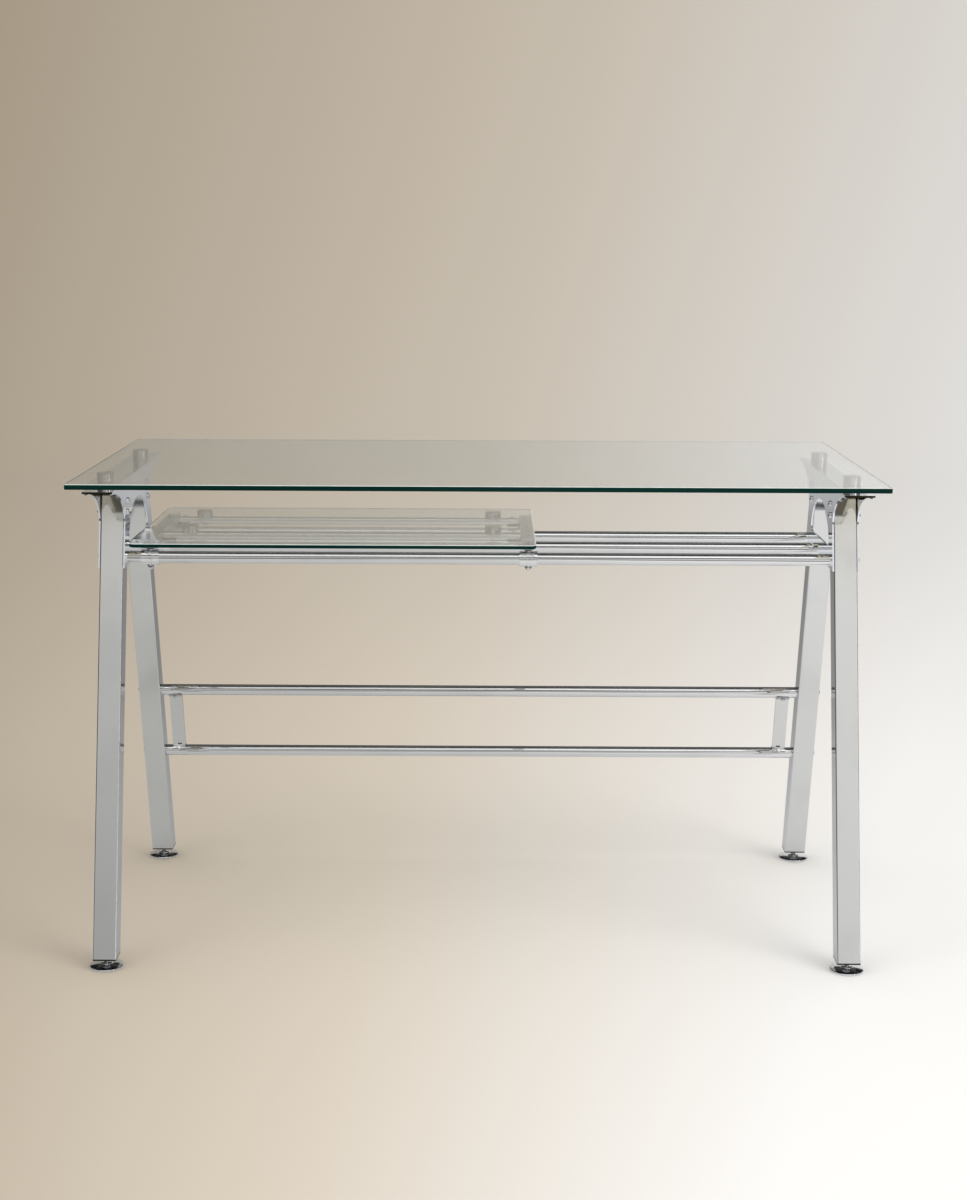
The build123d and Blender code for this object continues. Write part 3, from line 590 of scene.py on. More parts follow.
def brushed(name, colour, roughness, stretch, density, distance):
    """Brushed or rolled metal: fine stretched lines carry the tint, the gloss and the bump."""
    material, tree, shader, place = new_material(name, colour, roughness, metallic=1.0)
    lines = use_group(tree, group("grain"), Vector=place, Stretch=stretch, Density=density)
    tint = blend_colours(tree, lines["Streak"], scaled(colour, 0.9), colour)
    tree.links.new(tint, shader.inputs["Base Color"])
    rough = remap(tree, lines["Grain"], 0.0, 1.0, roughness * 0.75, roughness * 1.3)
    tree.links.new(rough, shader.inputs["Roughness"])
    wear_and_shade_edges(tree, shader, place, scaled(colour, 1.25), -0.08)
    add_bump(tree, shader, lines["Grain"], distance)
    return material


def turned(name, colour, roughness, middle, spread, pitch, distance):
    """Turned metal: rings round four centres in its bump, gloss and tint, and painted shade on its edges."""
    material, tree, shader, place = new_material(name, colour, roughness, metallic=1.0)
    marks = use_group(tree, group("turned"), Vector=place, Middle=middle, Spread=spread, Pitch=pitch)
    polish = use_group(
        tree, group("polish"), Vector=place, Roughness=roughness, Haze=0.05, Haze_Scale=60.0,
    )
    tint = blend_colours(tree, marks["Rings"], scaled(colour, 0.9), colour)
    tree.links.new(tint, shader.inputs["Base Color"])
    rough = math_node(tree, "MULTIPLY_ADD", marks["Rings"], 0.06)
    tree.links.new(polish["Roughness"], rough.node.inputs[2])
    tree.links.new(rough, shader.inputs["Roughness"])
    # Painted shade: the turned edges are painted darker.
    wear_and_shade_edges(tree, shader, place, scaled(colour, 0.65), 0.08, 0.5 * MM)
    add_bump(tree, shader, marks["Rings"], distance)
    return material


def moulded(name, colour, roughness, distance):
    """Moulded plastic with a fine grain."""
    material, tree, shader, place = new_material(name, colour, roughness)
    grain = use_group(tree, group("moulding"), Vector=place)
    tint = blend_colours(tree, grain["Flow"], colour, scaled(colour, 1.5))
    tree.links.new(tint, shader.inputs["Base Color"])
    rough = remap(tree, grain["Flow"], 0.0, 1.0, roughness, roughness * 1.25)
    tree.links.new(rough, shader.inputs["Roughness"])
    wear_and_shade_edges(tree, shader, place, scaled(colour, 3.0), -0.06)
    add_bump(tree, shader, grain["Height"], distance)
    return material


def lamp_window(tree, shader, tint):
    """Lets lamps through a glass shader: shadow rays pass with a plain tint."""
    path = add_node(tree, "ShaderNodeLightPath")
    see_through = add_node(tree, "ShaderNodeBsdfTransparent")
    see_through.inputs["Color"].default_value = tint
    return mix_shaders(tree, path.outputs["Is Shadow Ray"], shader, see_through.outputs[0])


def glass_face():
    """Clear float glass with barely visible wiping marks."""
    settings = bpy.context.scene.desk_glass
    tint = tuple(settings.clear_tint)
    material, tree, shader, place = new_material("clear_glass_face", tint, 0.0)
    shader.inputs["Transmission Weight"].default_value = 1.0
    shader.inputs["IOR"].default_value = GLASS_INDEX
    wiping = use_group(tree, group("polish"), Vector=place, Roughness=0.0, Haze=0.012, Haze_Scale=5.0)
    tree.links.new(wiping["Roughness"], shader.inputs["Roughness"])
    wiped = blend_colours(tree, wiping["Mask"], tint, scaled(tint, 0.985))
    tree.links.new(wiped, shader.inputs["Base Color"])
    output = next(n for n in tree.nodes if n.type == "OUTPUT_MATERIAL")
    tree.links.new(lamp_window(tree, shader.outputs[0], LAMP_TINT), output.inputs["Surface"])
    return material


def glass_edge():
    """Polished edge: deep green from outside, clear from inside the sheet."""
    settings = bpy.context.scene.desk_glass
    green = tuple(settings.edge_green)
    along_edge = (14.0, 14.0, 900.0)
    material, tree, shader, place = new_material("green_glass_edge", green, 0.06)
    shader.inputs["Specular IOR Level"].default_value = 0.12
    lines = use_group(tree, group("grain"), Vector=place, Stretch=along_edge, Density=1.0)
    streaked = blend_colours(tree, lines["Streak"], green, scaled(green, 1.35))
    tree.links.new(streaked, shader.inputs["Base Color"])
    tree.links.new(remap(tree, lines["Grain"], 0.0, 1.0, 0.05, 0.11), shader.inputs["Roughness"])
    inside = add_node(tree, "ShaderNodeBsdfPrincipled")
    inside.inputs["Base Color"].default_value = tuple(settings.clear_tint)
    inside.inputs["Roughness"].default_value = 0.0
    inside.inputs["IOR"].default_value = GLASS_INDEX
    inside.inputs["Transmission Weight"].default_value = 1.0
    facing = add_node(tree, "ShaderNodeNewGeometry").outputs["Backfacing"]
    output = next(n for n in tree.nodes if n.type == "OUTPUT_MATERIAL")
    edge = mix_shaders(tree, facing, shader.outputs[0], inside.outputs[0])
    tree.links.new(edge, output.inputs["Surface"])
    return material


def glass_arris():
    """Ground arris: pale, fine-ground glass that catches the light."""
    settings = bpy.context.scene.desk_glass
    pale = tuple(settings.arris_green)
    material, tree, shader, place = new_material("ground_glass_arris", pale, 0.3)
    shader.inputs["Specular IOR Level"].default_value = 0.6
    grain = use_group(tree, group("moulding"), Vector=place, Grain_Scale=5000.0, Flow_Scale=90.0)
    tree.links.new(blend_colours(tree, grain["Flow"], pale, scaled(pale, 0.85)), shader.inputs["Base Color"])
    tree.links.new(remap(tree, grain["Flow"], 0.0, 1.0, 0.24, 0.34), shader.inputs["Roughness"])
    return material


def disc_centres(node):
    """Middle of a node's four discs, and how far their centres stand from it along X and Y."""
    low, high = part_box(node)
    middle, half = (low + high) / 2, (high - low) / 2
    return (middle.x, middle.y, 0.0), (half.x - DISC_RADIUS, half.y - DISC_RADIUS, 0.0)


def disc_finish(name, node):
    """Turned steel for the four discs of a node."""
    steel = tuple(bpy.context.scene.desk_metal.satin_steel)
    return turned(name, steel, 0.09, *disc_centres(node), 0.55 * MM, 0.01 * MM)


def glide_finish(colour):
    """Turned chrome for the four levelling feet."""
    low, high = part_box("front_right_leveller")
    middle = (low + high) / 2
    spread = (abs(middle.x), abs(middle.y), 0.0)
    return turned("glide_chrome", colour, 0.05, (0, 0, 0), spread, 1.3 * MM, 0.006 * MM)


def finishes():
    """Every metal and plastic finish by its name, made once."""
    metal = bpy.context.scene.desk_metal
    chrome, zinc = tuple(metal.chrome), tuple(metal.zinc)
    flange_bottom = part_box("left_head_flange")[0].z
    along_slide, all_ways = (1.0, 0.02, 1.0), (1.0, 1.0, 1.0)
    # The blue of the plates' chrome is a painted reflection.
    plate = plated("plate_chrome", tuple(metal.plate_chrome), 0.05, 0.04, 14.0, 0.1 * MM)
    return {
        "tube_chrome": plated("tube_chrome", chrome, 0.03, 0.02, 22.0, 0.04 * MM),
        "leg_chrome": leg_finish(tuple(metal.leg_chrome), flange_bottom - LEG_TOP_SHADE),
        "plate_chrome": plate,
        "flange_chrome": flange_finish(plate, flange_bottom + 0.3 * MM),
        # Painted shade: the clamps' edges are painted much darker, as dark outlines.
        "clamp_chrome": plated("clamp_chrome", CLAMP_CHROME, 0.10, 0.06, 60.0, 0.03 * MM, edge_wear_and_shade=0.3),
        "fastener_chrome": plated("fastener_chrome", chrome, 0.10, 0.06, 120.0, 0.03 * MM),
        "glide_chrome": glide_finish(chrome),
        "top_disc_steel": disc_finish("top_disc_steel", "top_discs"),
        "tray_disc_steel": disc_finish("tray_disc_steel", "tray_discs"),
        "slide_steel": brushed("slide_steel", zinc, 0.3, along_slide, 1800.0, 0.01 * MM),
        "zinc_steel": brushed("zinc_steel", zinc, 0.32, all_ways, 700.0, 0.01 * MM),
        "bearing_steel": plated("bearing_steel", BEARING_STEEL, 0.05, 0.02, 300.0, 0.01 * MM),
        "satin_aluminium": brushed(
            "satin_aluminium", tuple(metal.aluminium), 0.33, along_slide, 1500.0, 0.01 * MM),
        "black_plastic": moulded("black_plastic", BLACK_PLASTIC, 0.3, 0.02 * MM),
    }


made_finishes = {}


def finish(name):
    """One of the finishes, made when first asked for."""
    if not made_finishes:
        made_finishes.update(finishes())
    return made_finishes[name]


def dress(nodes, finish_name):
    """Gives CAD nodes one of the finishes."""
    for name in nodes:
        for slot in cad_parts[name].material_slots:
            slot.material = finish(finish_name)


# ---------------------------------------------------------------- mesh helpers

def make_object(name, points, faces, materials, indices=None, sharp=SHARP_ANGLE):
    """Object at the origin from points and faces, smooth except across sharp edges."""
    mesh = bpy.data.meshes.new(name)
    mesh.from_pydata([tuple(p) for p in points], [], faces)
    for material in materials:
        mesh.materials.append(material)
    if indices is not None:
        mesh.polygons.foreach_set("material_index", indices)
    return link_mesh(name, mesh, sharp)


def link_mesh(name, mesh, sharp):
    """Links a mesh as an object, marks its sharp edges and smooths the rest."""
    shape = bmesh.new()
    shape.from_mesh(mesh)
    for face in shape.faces:
        face.smooth = True
    for edge in shape.edges:
        edge.smooth = not edge.is_manifold or edge.calc_face_angle(0.0) < sharp
    shape.to_mesh(mesh)
    shape.free()
    mesh.update()
    piece = bpy.data.objects.new(name, mesh)
    bpy.context.scene.collection.objects.link(piece)
    return piece


def lathe(profile, centre, segments):
    """Points and outward faces of a profile of (radius, height) turned about a vertical axis.

    The profile runs from the bottom pole to the top pole, both at radius 0."""
    points = [(*centre, profile[0][1])]
    rings = profile[1:-1]
    for radius, height in rings:
        for step in range(segments):
            angle = TURN * step / segments
            x, y = centre[0] + radius * math.cos(angle), centre[1] + radius * math.sin(angle)
            points.append((x, y, height))
    points.append((*centre, profile[-1][1]))
    faces = []
    for step in range(segments):
        after = (step + 1) % segments
        faces.append((0, 1 + after, 1 + step))
        for ring in range(len(rings) - 1):
            low, high = 1 + ring * segments, 1 + (ring + 1) * segments
            faces.append((low + step, low + after, high + after, high + step))
        last = 1 + (len(rings) - 1) * segments
        faces.append((last + step, last + after, len(points) - 1))
    return points, faces


def arc(centre, radius, start, end, steps):
    """Points of an arc in the profile plane, angles in degrees."""
    angles = [math.radians(start + (end - start) * i / steps) for i in range(steps + 1)]
    return [(centre[0] + radius * math.cos(a), centre[1] + radius * math.sin(a)) for a in angles]


def rounded_rectangle(low, high, radius, inset, steps):
    """Corner points, anticlockwise, of a rounded rectangle drawn in by an inset."""
    corners = (
        (high.x - radius, high.y - radius, 0), (low.x + radius, high.y - radius, 90),
        (low.x + radius, low.y + radius, 180), (high.x - radius, low.y + radius, 270),
    )
    points = []
    for x, y, start in corners:
        points += arc((x, y), radius - inset, start, start + 90, steps)
    return points


# ---------------------------------------------------------------- pieces

def glass_sheet(name, node, corner, body):
    """Sheet of glass in place of its CAD solid: clear faces, green edge band, ground arrises."""
    settings = bpy.context.scene.desk_glass
    low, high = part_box(node)
    arris, gap = settings.arris, settings.bond_gap
    levels = ((arris, low.z + gap), (0.0, low.z + gap + arris), (0.0, high.z - arris), (arris, high.z))
    points = []
    for inset, level in levels:
        points += [(x, y, level) for x, y in rounded_rectangle(low, high, corner, inset, 10)]
    count = len(points) // len(levels)
    faces, indices = [tuple(reversed(range(count)))], [0]
    for band, slot in ((0, 1), (1, 1), (2, 2)):
        start = band * count
        for i in range(count):
            after = (i + 1) % count
            faces.append((start + i, start + after, start + count + after, start + count + i))
            indices.append(slot)
    faces.append(tuple(range(len(points) - count, len(points))))
    indices.append(0)
    materials = [finish_glass("face"), finish_glass("edge"), finish_glass("arris")]
    sheet = make_object(name, points, faces, materials, indices)
    sheet.visible_diffuse = False
    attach(sheet, body)
    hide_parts(node)
    return sheet


glass_finishes = {}


def finish_glass(part):
    """Glass material of a sheet's face, edge or arris, made when first asked for."""
    if not glass_finishes:
        glass_finishes.update(face=glass_face(), edge=glass_edge(), arris=glass_arris())
    return glass_finishes[part]


def dome(start, end, bulge, steps):
    """Points after the start of a line between two points that bulges upwards."""
    points = []
    for i in range(1, steps + 1):
        share = i / steps
        x = start[0] + (end[0] - start[0]) * share
        points.append((x, start[1] + (end[1] - start[1]) * share + bulge * math.sin(math.pi * share)))
    return points


def glide_profile(settings, radius, top):
    """Profile of a levelling foot: rounded rim, low dome, hub and the stem's root."""
    rim, round_ = settings.rim_height, settings.rim_round
    hub, hub_top = settings.hub_radius, settings.hub_height
    root = settings.stem_radius - settings.thread_depth
    profile = [(0.0, 0.0)]
    profile += arc((radius - round_, round_), round_, -90, 0, 5)
    profile += arc((radius - round_, rim - round_), round_, 0, 68, 5)
    profile += dome(profile[-1], (hub + round_, hub_top - 1.7 * round_), 0.35 * MM, 10)
    profile += arc((hub + round_, hub_top - 0.7 * round_), round_, 270, 180, 4)
    lip = 0.6 * round_
    profile += arc((hub - lip, hub_top - lip), lip, 0, 90, 4)
    fillet, chamfer = 0.2 * MM, 0.6 * MM
    profile += [(root + fillet, hub_top), (root, hub_top + fillet)]
    profile += [(root, top - chamfer), (root - chamfer, top), (0.0, top)]
    return profile


def make_glide(place):
    """One levelling foot in place of its CAD solid."""
    settings = bpy.context.scene.desk_feet
    node = f"{place}_leveller"
    low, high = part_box(node)
    middle = (low + high) / 2
    profile = glide_profile(settings, (high.x - low.x) / 2, high.z)
    points, faces = lathe(profile, (middle.x, middle.y), settings.segments)
    finishes_used = [finish("glide_chrome")]
    glide = make_object(f"{place}_glide", points, faces, finishes_used, sharp=math.radians(50))
    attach(glide, f"{place}_foot")
    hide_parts(node)


def geometry_tree(name, inputs):
    """Geometry Nodes tree with named inputs; returns the tree, its inputs and its outputs."""
    tree = bpy.data.node_groups.new(name, "GeometryNodeTree")
    kinds = {"length": "NodeSocketFloat", "count": "NodeSocketInt", "material": "NodeSocketMaterial",
             "place": "NodeSocketVector"}
    for label, kind in inputs:
        tree.interface.new_socket(label, in_out="INPUT", socket_type=kinds[kind])
    tree.interface.new_socket("Geometry", in_out="OUTPUT", socket_type="NodeSocketGeometry")
    return tree, add_node(tree, "NodeGroupInput").outputs, add_node(tree, "NodeGroupOutput").inputs


def thread_tree():
    """Helical thread: a spiral swept with a four-sided profile, set on a stem."""
    tree, given, out = geometry_tree("Stem thread", [
        ("Radius", "length"), ("Depth", "length"), ("Pitch", "length"), ("Length", "length"),
        ("Base", "place"), ("Steps", "count"), ("Material", "material"),
    ])
    turns = math_node(tree, "DIVIDE", given["Length"], given["Pitch"])
    spiral = add_node(tree, "GeometryNodeCurveSpiral")
    radius = math_node(tree, "SUBTRACT", given["Radius"], given["Depth"])
    for name in ("Start Radius", "End Radius"):
        tree.links.new(radius, spiral.inputs[name])
    tree.links.new(given["Steps"], spiral.inputs["Resolution"])
    tree.links.new(turns, spiral.inputs["Rotations"])
    tree.links.new(given["Length"], spiral.inputs["Height"])
    profile = add_node(tree, "GeometryNodeCurvePrimitiveCircle")
    profile.inputs["Resolution"].default_value = 4
    tree.links.new(given["Depth"], profile.inputs["Radius"])
    sweep = add_node(tree, "GeometryNodeCurveToMesh")
    sweep.inputs["Fill Caps"].default_value = True
    tree.links.new(spiral.outputs[0], sweep.inputs["Curve"])
    tree.links.new(profile.outputs[0], sweep.inputs["Profile Curve"])
    moved = add_node(tree, "GeometryNodeTransform")
    tree.links.new(sweep.outputs[0], moved.inputs["Geometry"])
    tree.links.new(given["Base"], moved.inputs["Translation"])
    finish_tree(tree, moved.outputs[0], given["Material"], out["Geometry"])
    return tree


def finish_tree(tree, geometry, material, output):
    """Ends a tree in Realize Instances and Set Material."""
    real = add_node(tree, "GeometryNodeRealizeInstances")
    painted = add_node(tree, "GeometryNodeSetMaterial")
    tree.links.new(geometry, real.inputs[0])
    tree.links.new(real.outputs[0], painted.inputs["Geometry"])
    tree.links.new(material, painted.inputs["Material"])
    tree.links.new(painted.outputs[0], output)


def grow(name, tree, values, sharp=SHARP_ANGLE):
    """Runs a Geometry Nodes tree with its values and keeps the result as a plain mesh object."""
    seed_mesh = bpy.data.meshes.new(name + "_seed")
    seed = bpy.data.objects.new(name + "_seed", seed_mesh)
    bpy.context.scene.collection.objects.link(seed)
    modifier = seed.modifiers.new(tree.name, "NODES")
    modifier.node_group = tree
    sockets = {item.name: item.identifier for item in tree.interface.items_tree if item.in_out == "INPUT"}
    for key, value in values.items():
        modifier[sockets[key]] = value
    evaluated = seed.evaluated_get(bpy.context.evaluated_depsgraph_get())
    mesh = bpy.data.meshes.new_from_object(evaluated)
    mesh.name = name
    bpy.data.objects.remove(seed)
    bpy.data.meshes.remove(seed_mesh)
    if not mesh.polygons:
        raise RuntimeError(f"{name} came out empty")
    return link_mesh(name, mesh, sharp)


# ---------------------------------------------------------------- operators

class DESK_OT_glass(bpy.types.Operator):
    """Makes the desk-top and tray glass."""

    bl_idname = "desk.glass"
    bl_label = "Glass sheets"

    def execute(self, context):
        settings = context.scene.desk_glass
        glass_sheet("desk_top_glass", "top_glass", settings.top_corner, "frame")
        glass_sheet("tray_glass_sheet", "tray_glass", settings.tray_corner, "tray")
        return {"FINISHED"}


class DESK_OT_legs(bpy.types.Operator):
    """Finishes the legs and their end caps."""

    bl_idname = "desk.legs"
    bl_label = "Legs"

    def execute(self, context):
        dress([f"{place}_leg" for place in FEET], "leg_chrome")
        dress([f"{place}_end_cap" for place in FEET], "black_plastic")
        dress(["end_cap_inserts"], "zinc_steel")
        return {"FINISHED"}


class DESK_OT_feet(bpy.types.Operator):
    """Makes the levelling feet and their threads."""

    bl_idname = "desk.feet"
    bl_label = "Levelling feet"

    def execute(self, context):
        settings = context.scene.desk_feet
        tree = thread_tree()
        for place in FEET:
            low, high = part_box(f"{place}_leveller")
            middle = (low + high) / 2
            make_glide(place)
            start = settings.hub_height + settings.thread_pitch / 2
            thread = grow(f"{place}_stem_thread", tree, {
                "Radius": settings.stem_radius, "Depth": settings.thread_depth,
                "Pitch": settings.thread_pitch, "Length": high.z - start - settings.thread_pitch,
                "Base": (middle.x, middle.y, start), "Steps": 32, "Material": finish("zinc_steel"),
            })
            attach(thread, f"{place}_foot")
        return {"FINISHED"}


class DESK_OT_heads(bpy.types.Operator):
    """Finishes the head plates and flanges."""

    bl_idname = "desk.heads"
    bl_label = "Heads"

    def execute(self, context):
        for side in ("left", "right"):
            dress([f"{side}_inner_head_plate", f"{side}_outer_head_plate"], "plate_chrome")
            dress([f"{side}_head_flange"], "flange_chrome")
        return {"FINISHED"}


class DESK_OT_tubes(bpy.types.Operator):
    """Finishes the rails, stretchers, cross tubes, braces and clamps."""

    bl_idname = "desk.tubes"
    bl_label = "Tubes and clamps"

    def execute(self, context):
        tubes = ["front_rail", "middle_rail", "rear_rail", "upper_stretcher", "lower_stretcher"]
        dress(tubes + ["front_cross_tube", "rear_cross_tube"], "tube_chrome")
        dress(["left_brace", "right_brace"], "leg_chrome")
        dress(["clamp_upper_halves", "clamp_lower_halves"], "clamp_chrome")
        dress(["clamp_spacers"], "black_plastic")
        dress(["tube_end_plugs", "rail_spacers"], "zinc_steel")
        return {"FINISHED"}


class DESK_OT_discs(bpy.types.Operator):
    """Finishes the turned discs under both sheets."""

    bl_idname = "desk.discs"
    bl_label = "Discs"

    def execute(self, context):
        dress(["top_discs"], "top_disc_steel")
        dress(["tray_discs"], "tray_disc_steel")
        return {"FINISHED"}


class DESK_OT_slides(bpy.types.Operator):
    """Finishes the ball slides and tray carriers."""

    bl_idname = "desk.slides"
    bl_label = "Slides"

    def execute(self, context):
        for side in ("left", "right"):
            dress([f"{side}_slide_outer", f"{side}_slide_inner", f"{side}_ball_retainer"], "slide_steel")
            dress([f"{side}_slide_balls"], "bearing_steel")
            dress([f"{side}_tray_carrier"], "satin_aluminium")
        return {"FINISHED"}


class DESK_OT_fasteners(bpy.types.Operator):
    """Finishes the screws, bolts and nuts."""

    bl_idname = "desk.fasteners"
    bl_label = "Fasteners"

    def execute(self, context):
        bright = ["head_bolts", "head_cap_nuts", "rail_bolts", "stretcher_bolts", "brace_screws",
                  "clamp_bolts", "clamp_nuts", "carrier_screws", "cross_tube_screws",
                  "tray_disc_screws", "top_disc_screws"]
        dress(bright, "fastener_chrome")
        return {"FINISHED"}


# Painted reflection: the greys that polished parts see in floor and wall, from left to right.
PAINTED_FLOOR_REFLECTION = (
    (0.0, (0.46, 0.46, 0.45, 1.0)), (0.5, (0.50, 0.50, 0.49, 1.0)), (1.0, (0.64, 0.64, 0.64, 1.0)),
)
PAINTED_WALL_REFLECTION = (
    (0.0, (0.40, 0.38, 0.335, 1.0)), (0.5, (0.56, 0.54, 0.49, 1.0)), (1.0, (0.95, 0.94, 0.93, 1.0)),
)


def fade(tree, value, stops):
    """Colour ramp over a value; the stops are (place, colour)."""
    ramp = add_node(tree, "ShaderNodeValToRGB")
    tree.links.new(value, ramp.inputs[0])
    elements = ramp.color_ramp.elements
    while len(elements) < len(stops):
        elements.new(0.5)
    for element, (place, colour) in zip(elements, stops):
        element.position = place
        element.color = colour
    return ramp.outputs[0]


def seen_paper(tree, settings, across, rise, depth):
    """Painted light and shade of the paper as it is seen: a colour fade from its shaded corner over the
    middle to its lit one.
    """
    middle_share, side_slope, height_slope = 0.56, 1.5, -0.35
    share = math_node(tree, "MULTIPLY_ADD", across, side_slope)
    lean = math_node(tree, "MULTIPLY_ADD", rise, height_slope)
    lean.node.inputs[2].default_value = middle_share
    tree.links.new(lean, share.node.inputs[2])
    even_share, even_from, even_to = 0.6, -1.5, -3.4
    behind = remap(tree, depth, even_to, even_from, 1.0, 0.0)
    even = add_node(tree, "ShaderNodeMix", data_type="FLOAT")
    tree.links.new(behind, even.inputs[0])
    tree.links.new(share, even.inputs[2])
    even.inputs[3].default_value = even_share
    return fade(tree, even.outputs[0], (
        (0.0, tuple(settings.paper_near)), (even_share, tuple(settings.paper_middle)),
        (1.0, tuple(settings.paper_far))))


def painted_reflection_paper(tree, across, depth, height):
    """Painted reflection that polished parts see in the paper: floor and wall greys by height, darker at the
    sides.
    """
    width = remap(tree, across, -0.2, 0.2, 0.0, 1.0)
    low_grey, high_grey = (fade(tree, width, stops) for stops in (PAINTED_FLOOR_REFLECTION, PAINTED_WALL_REFLECTION))
    foot_of_wall = 0.4
    climb = remap(tree, height, 0.0, foot_of_wall, 0.0, 1.0)
    grey = blend_colours(tree, climb, low_grey, high_grey)
    near = remap(tree, depth, 0.4, 1.6, 1.18, 0.72)
    back = remap(tree, depth, 4.3, 5.0, 1.0, 1.4, smooth=True)
    floor_level = math_node(tree, "MULTIPLY", near, back)
    level = remap(tree, height, 0.0, foot_of_wall, floor_level, 1.0)
    sides = remap(tree, math_node(tree, "ABSOLUTE", across), 0.5, 0.75, 1.0, 0.2)
    lift = add_node(tree, "ShaderNodeVectorMath", operation="SCALE")
    tree.links.new(grey, lift.inputs[0])
    tree.links.new(math_node(tree, "MULTIPLY", level, sides), lift.inputs["Scale"])
    return lift.outputs[0]


def paper(name, settings):
    """Paper of floor and sweep with a painted fade of light and shade, from its shaded corner to its lit
    one.

    Polished parts see a painted reflection in it: neutral grey in place of its own colour."""
    material, tree, shader, place = new_material(name, tuple(settings.paper_far), 0.8)
    parts = add_node(tree, "ShaderNodeSeparateXYZ")
    tree.links.new(place, parts.inputs[0])
    side, depth, height = parts.outputs
    least_distance = 0.6
    away = math_node(tree, "ADD", depth, settings.camera_distance)
    away = math_node(tree, "MAXIMUM", away, least_distance)
    across = math_node(tree, "DIVIDE", side, away)
    above_eye = math_node(tree, "SUBTRACT", height, settings.camera_height)
    seen = seen_paper(tree, settings, across, math_node(tree, "DIVIDE", above_eye, away), depth)
    # Painted reflection: glossy rays, other than through glass, see a grey in place of the paper's colour.
    path = add_node(tree, "ShaderNodeLightPath")
    straight = math_node(tree, "SUBTRACT", 1.0, path.outputs["Is Transmission Ray"])
    mirrored = math_node(tree, "MULTIPLY", path.outputs["Is Glossy Ray"], straight)
    grey = painted_reflection_paper(tree, across, depth, height)
    tree.links.new(blend_colours(tree, mirrored, seen, grey), shader.inputs["Base Color"])
    shader.inputs["Specular IOR Level"].default_value = 0.1
    return material


def make_floor(settings):
    """Flat round floor and the sweep that rises behind the desk."""
    steps = 128
    material = paper("studio_paper", settings)
    rim = [(math.cos(TURN * i / steps), math.sin(TURN * i / steps)) for i in range(steps)]
    radius, rise = settings.floor_radius, settings.sweep_rise
    rounds = [(x * radius, y * radius, 0.0) for x, y in rim]
    floor = make_object("studio_floor", rounds, [tuple(range(steps))], [material])
    rings, spokes = 24, 96
    first_turn, whole_turn, whole_bend = math.radians(-15), math.radians(210), math.radians(80)
    turns = [first_turn + whole_turn * i / spokes for i in range(spokes + 1)]
    points = []
    for ring in range(rings + 1):
        bend = whole_bend * ring / rings
        reach, level = radius + rise * math.sin(bend), rise * (1 - math.cos(bend))
        points += [(math.cos(turn) * reach, math.sin(turn) * reach, level) for turn in turns]
    faces = []
    for ring in range(rings):
        for i in range(spokes):
            low, high = ring * (spokes + 1) + i, (ring + 1) * (spokes + 1) + i
            faces.append((low, low + 1, high + 1, high))
    sweep = make_object("studio_sweep", points, faces, [material])
    sweep.visible_diffuse = False
    sweep.visible_shadow = False


WARM, NEUTRAL, COOL = (1.0, 0.985, 0.96), (1.0, 1.0, 1.0), (0.96, 0.98, 1.0)
KEY_PLACE, KEY_SIZE = (2.6, -1.9, 3.1), (2.4, 1.8)
TOP_PLACE, TOP_SIZE = (0.0, -0.5, 3.2), (3.2, 0.9)
FILL_PLACE, FILL_SIZE = (-3.0, -2.4, 1.9), (2.0, 1.6)
STRIP_PLACE, STRIP_SIZE = (3.6, -3.1, 1.0), (0.5, 2.0)


def soft_light(name, place, size, power, colour=NEUTRAL, mirrored=False):
    """Rectangular soft light aimed at the desk; only a mirrored one shows in polished parts."""
    lamp = bpy.data.lights.new(name, "AREA")
    lamp.shape = "RECTANGLE"
    lamp.size, lamp.size_y = size
    lamp.energy = power
    lamp.color = colour
    light = bpy.data.objects.new(name, lamp)
    light.location = place
    aim = (CAD_BOX[0] + CAD_BOX[1]) / 2 - Vector(place)
    light.rotation_euler = aim.to_track_quat("-Z", "Y").to_euler()
    light.visible_camera = False
    light.visible_glossy = mirrored
    light.visible_transmission = False
    bpy.context.scene.collection.objects.link(light)


# Degrees round the desk's long axis, 0 level behind the camera and 90 overhead, with their colours.
ROOM_BANDS = (
    (-180, (0.40, 0.40, 0.40)), (-90, (0.42, 0.42, 0.42)), (-16, (0.50, 0.50, 0.50)),
    (4, (0.58, 0.58, 0.58)), (20, (0.68, 0.68, 0.67)), (21.5, (0.68, 0.67, 0.65)),
    (21.8, (0.60, 0.55, 0.44)), (22.5, (0.52, 0.47, 0.37)), (22.9, (0.06, 0.05, 0.038)),
    (36, (0.10, 0.095, 0.09)), (41, (1.0, 1.0, 1.0)), (68, (1.0, 1.0, 1.0)),
    (73, (0.06, 0.06, 0.06)), (79, (0.01, 0.01, 0.01)), (103, (0.01, 0.01, 0.01)),
    (110, (0.13, 0.13, 0.13)), (134, (0.13, 0.13, 0.13)), (141, (0.01, 0.01, 0.01)),
    (157, (0.01, 0.01, 0.01)), (162, (0.40, 0.40, 0.40)),
)


def room_strength(tree, side, angle, settings):
    """Strength of the bands: dimmer to the left, past the side walls and level behind the camera."""
    left_low, left_high, right = 0.62, 0.93, 1.3
    left = remap(tree, angle, math.radians(8), math.radians(21), left_low, left_high)
    across = remap(tree, side, -0.3, 0.3, left, right, smooth=True)
    off_centre = math_node(tree, "ABSOLUTE", side)
    walls = remap(tree, off_centre, 0.42, 0.6, settings.sky_strength, 0.2)
    tilt = math_node(tree, "ABSOLUTE", angle)
    level = remap(tree, tilt, math.radians(22), math.radians(40), 0.62, 1.0)
    dip = remap(tree, off_centre, 0.03, 0.17, level, 1.0, smooth=True)
    return math_node(tree, "MULTIPLY", across, math_node(tree, "MULTIPLY", walls, dip))


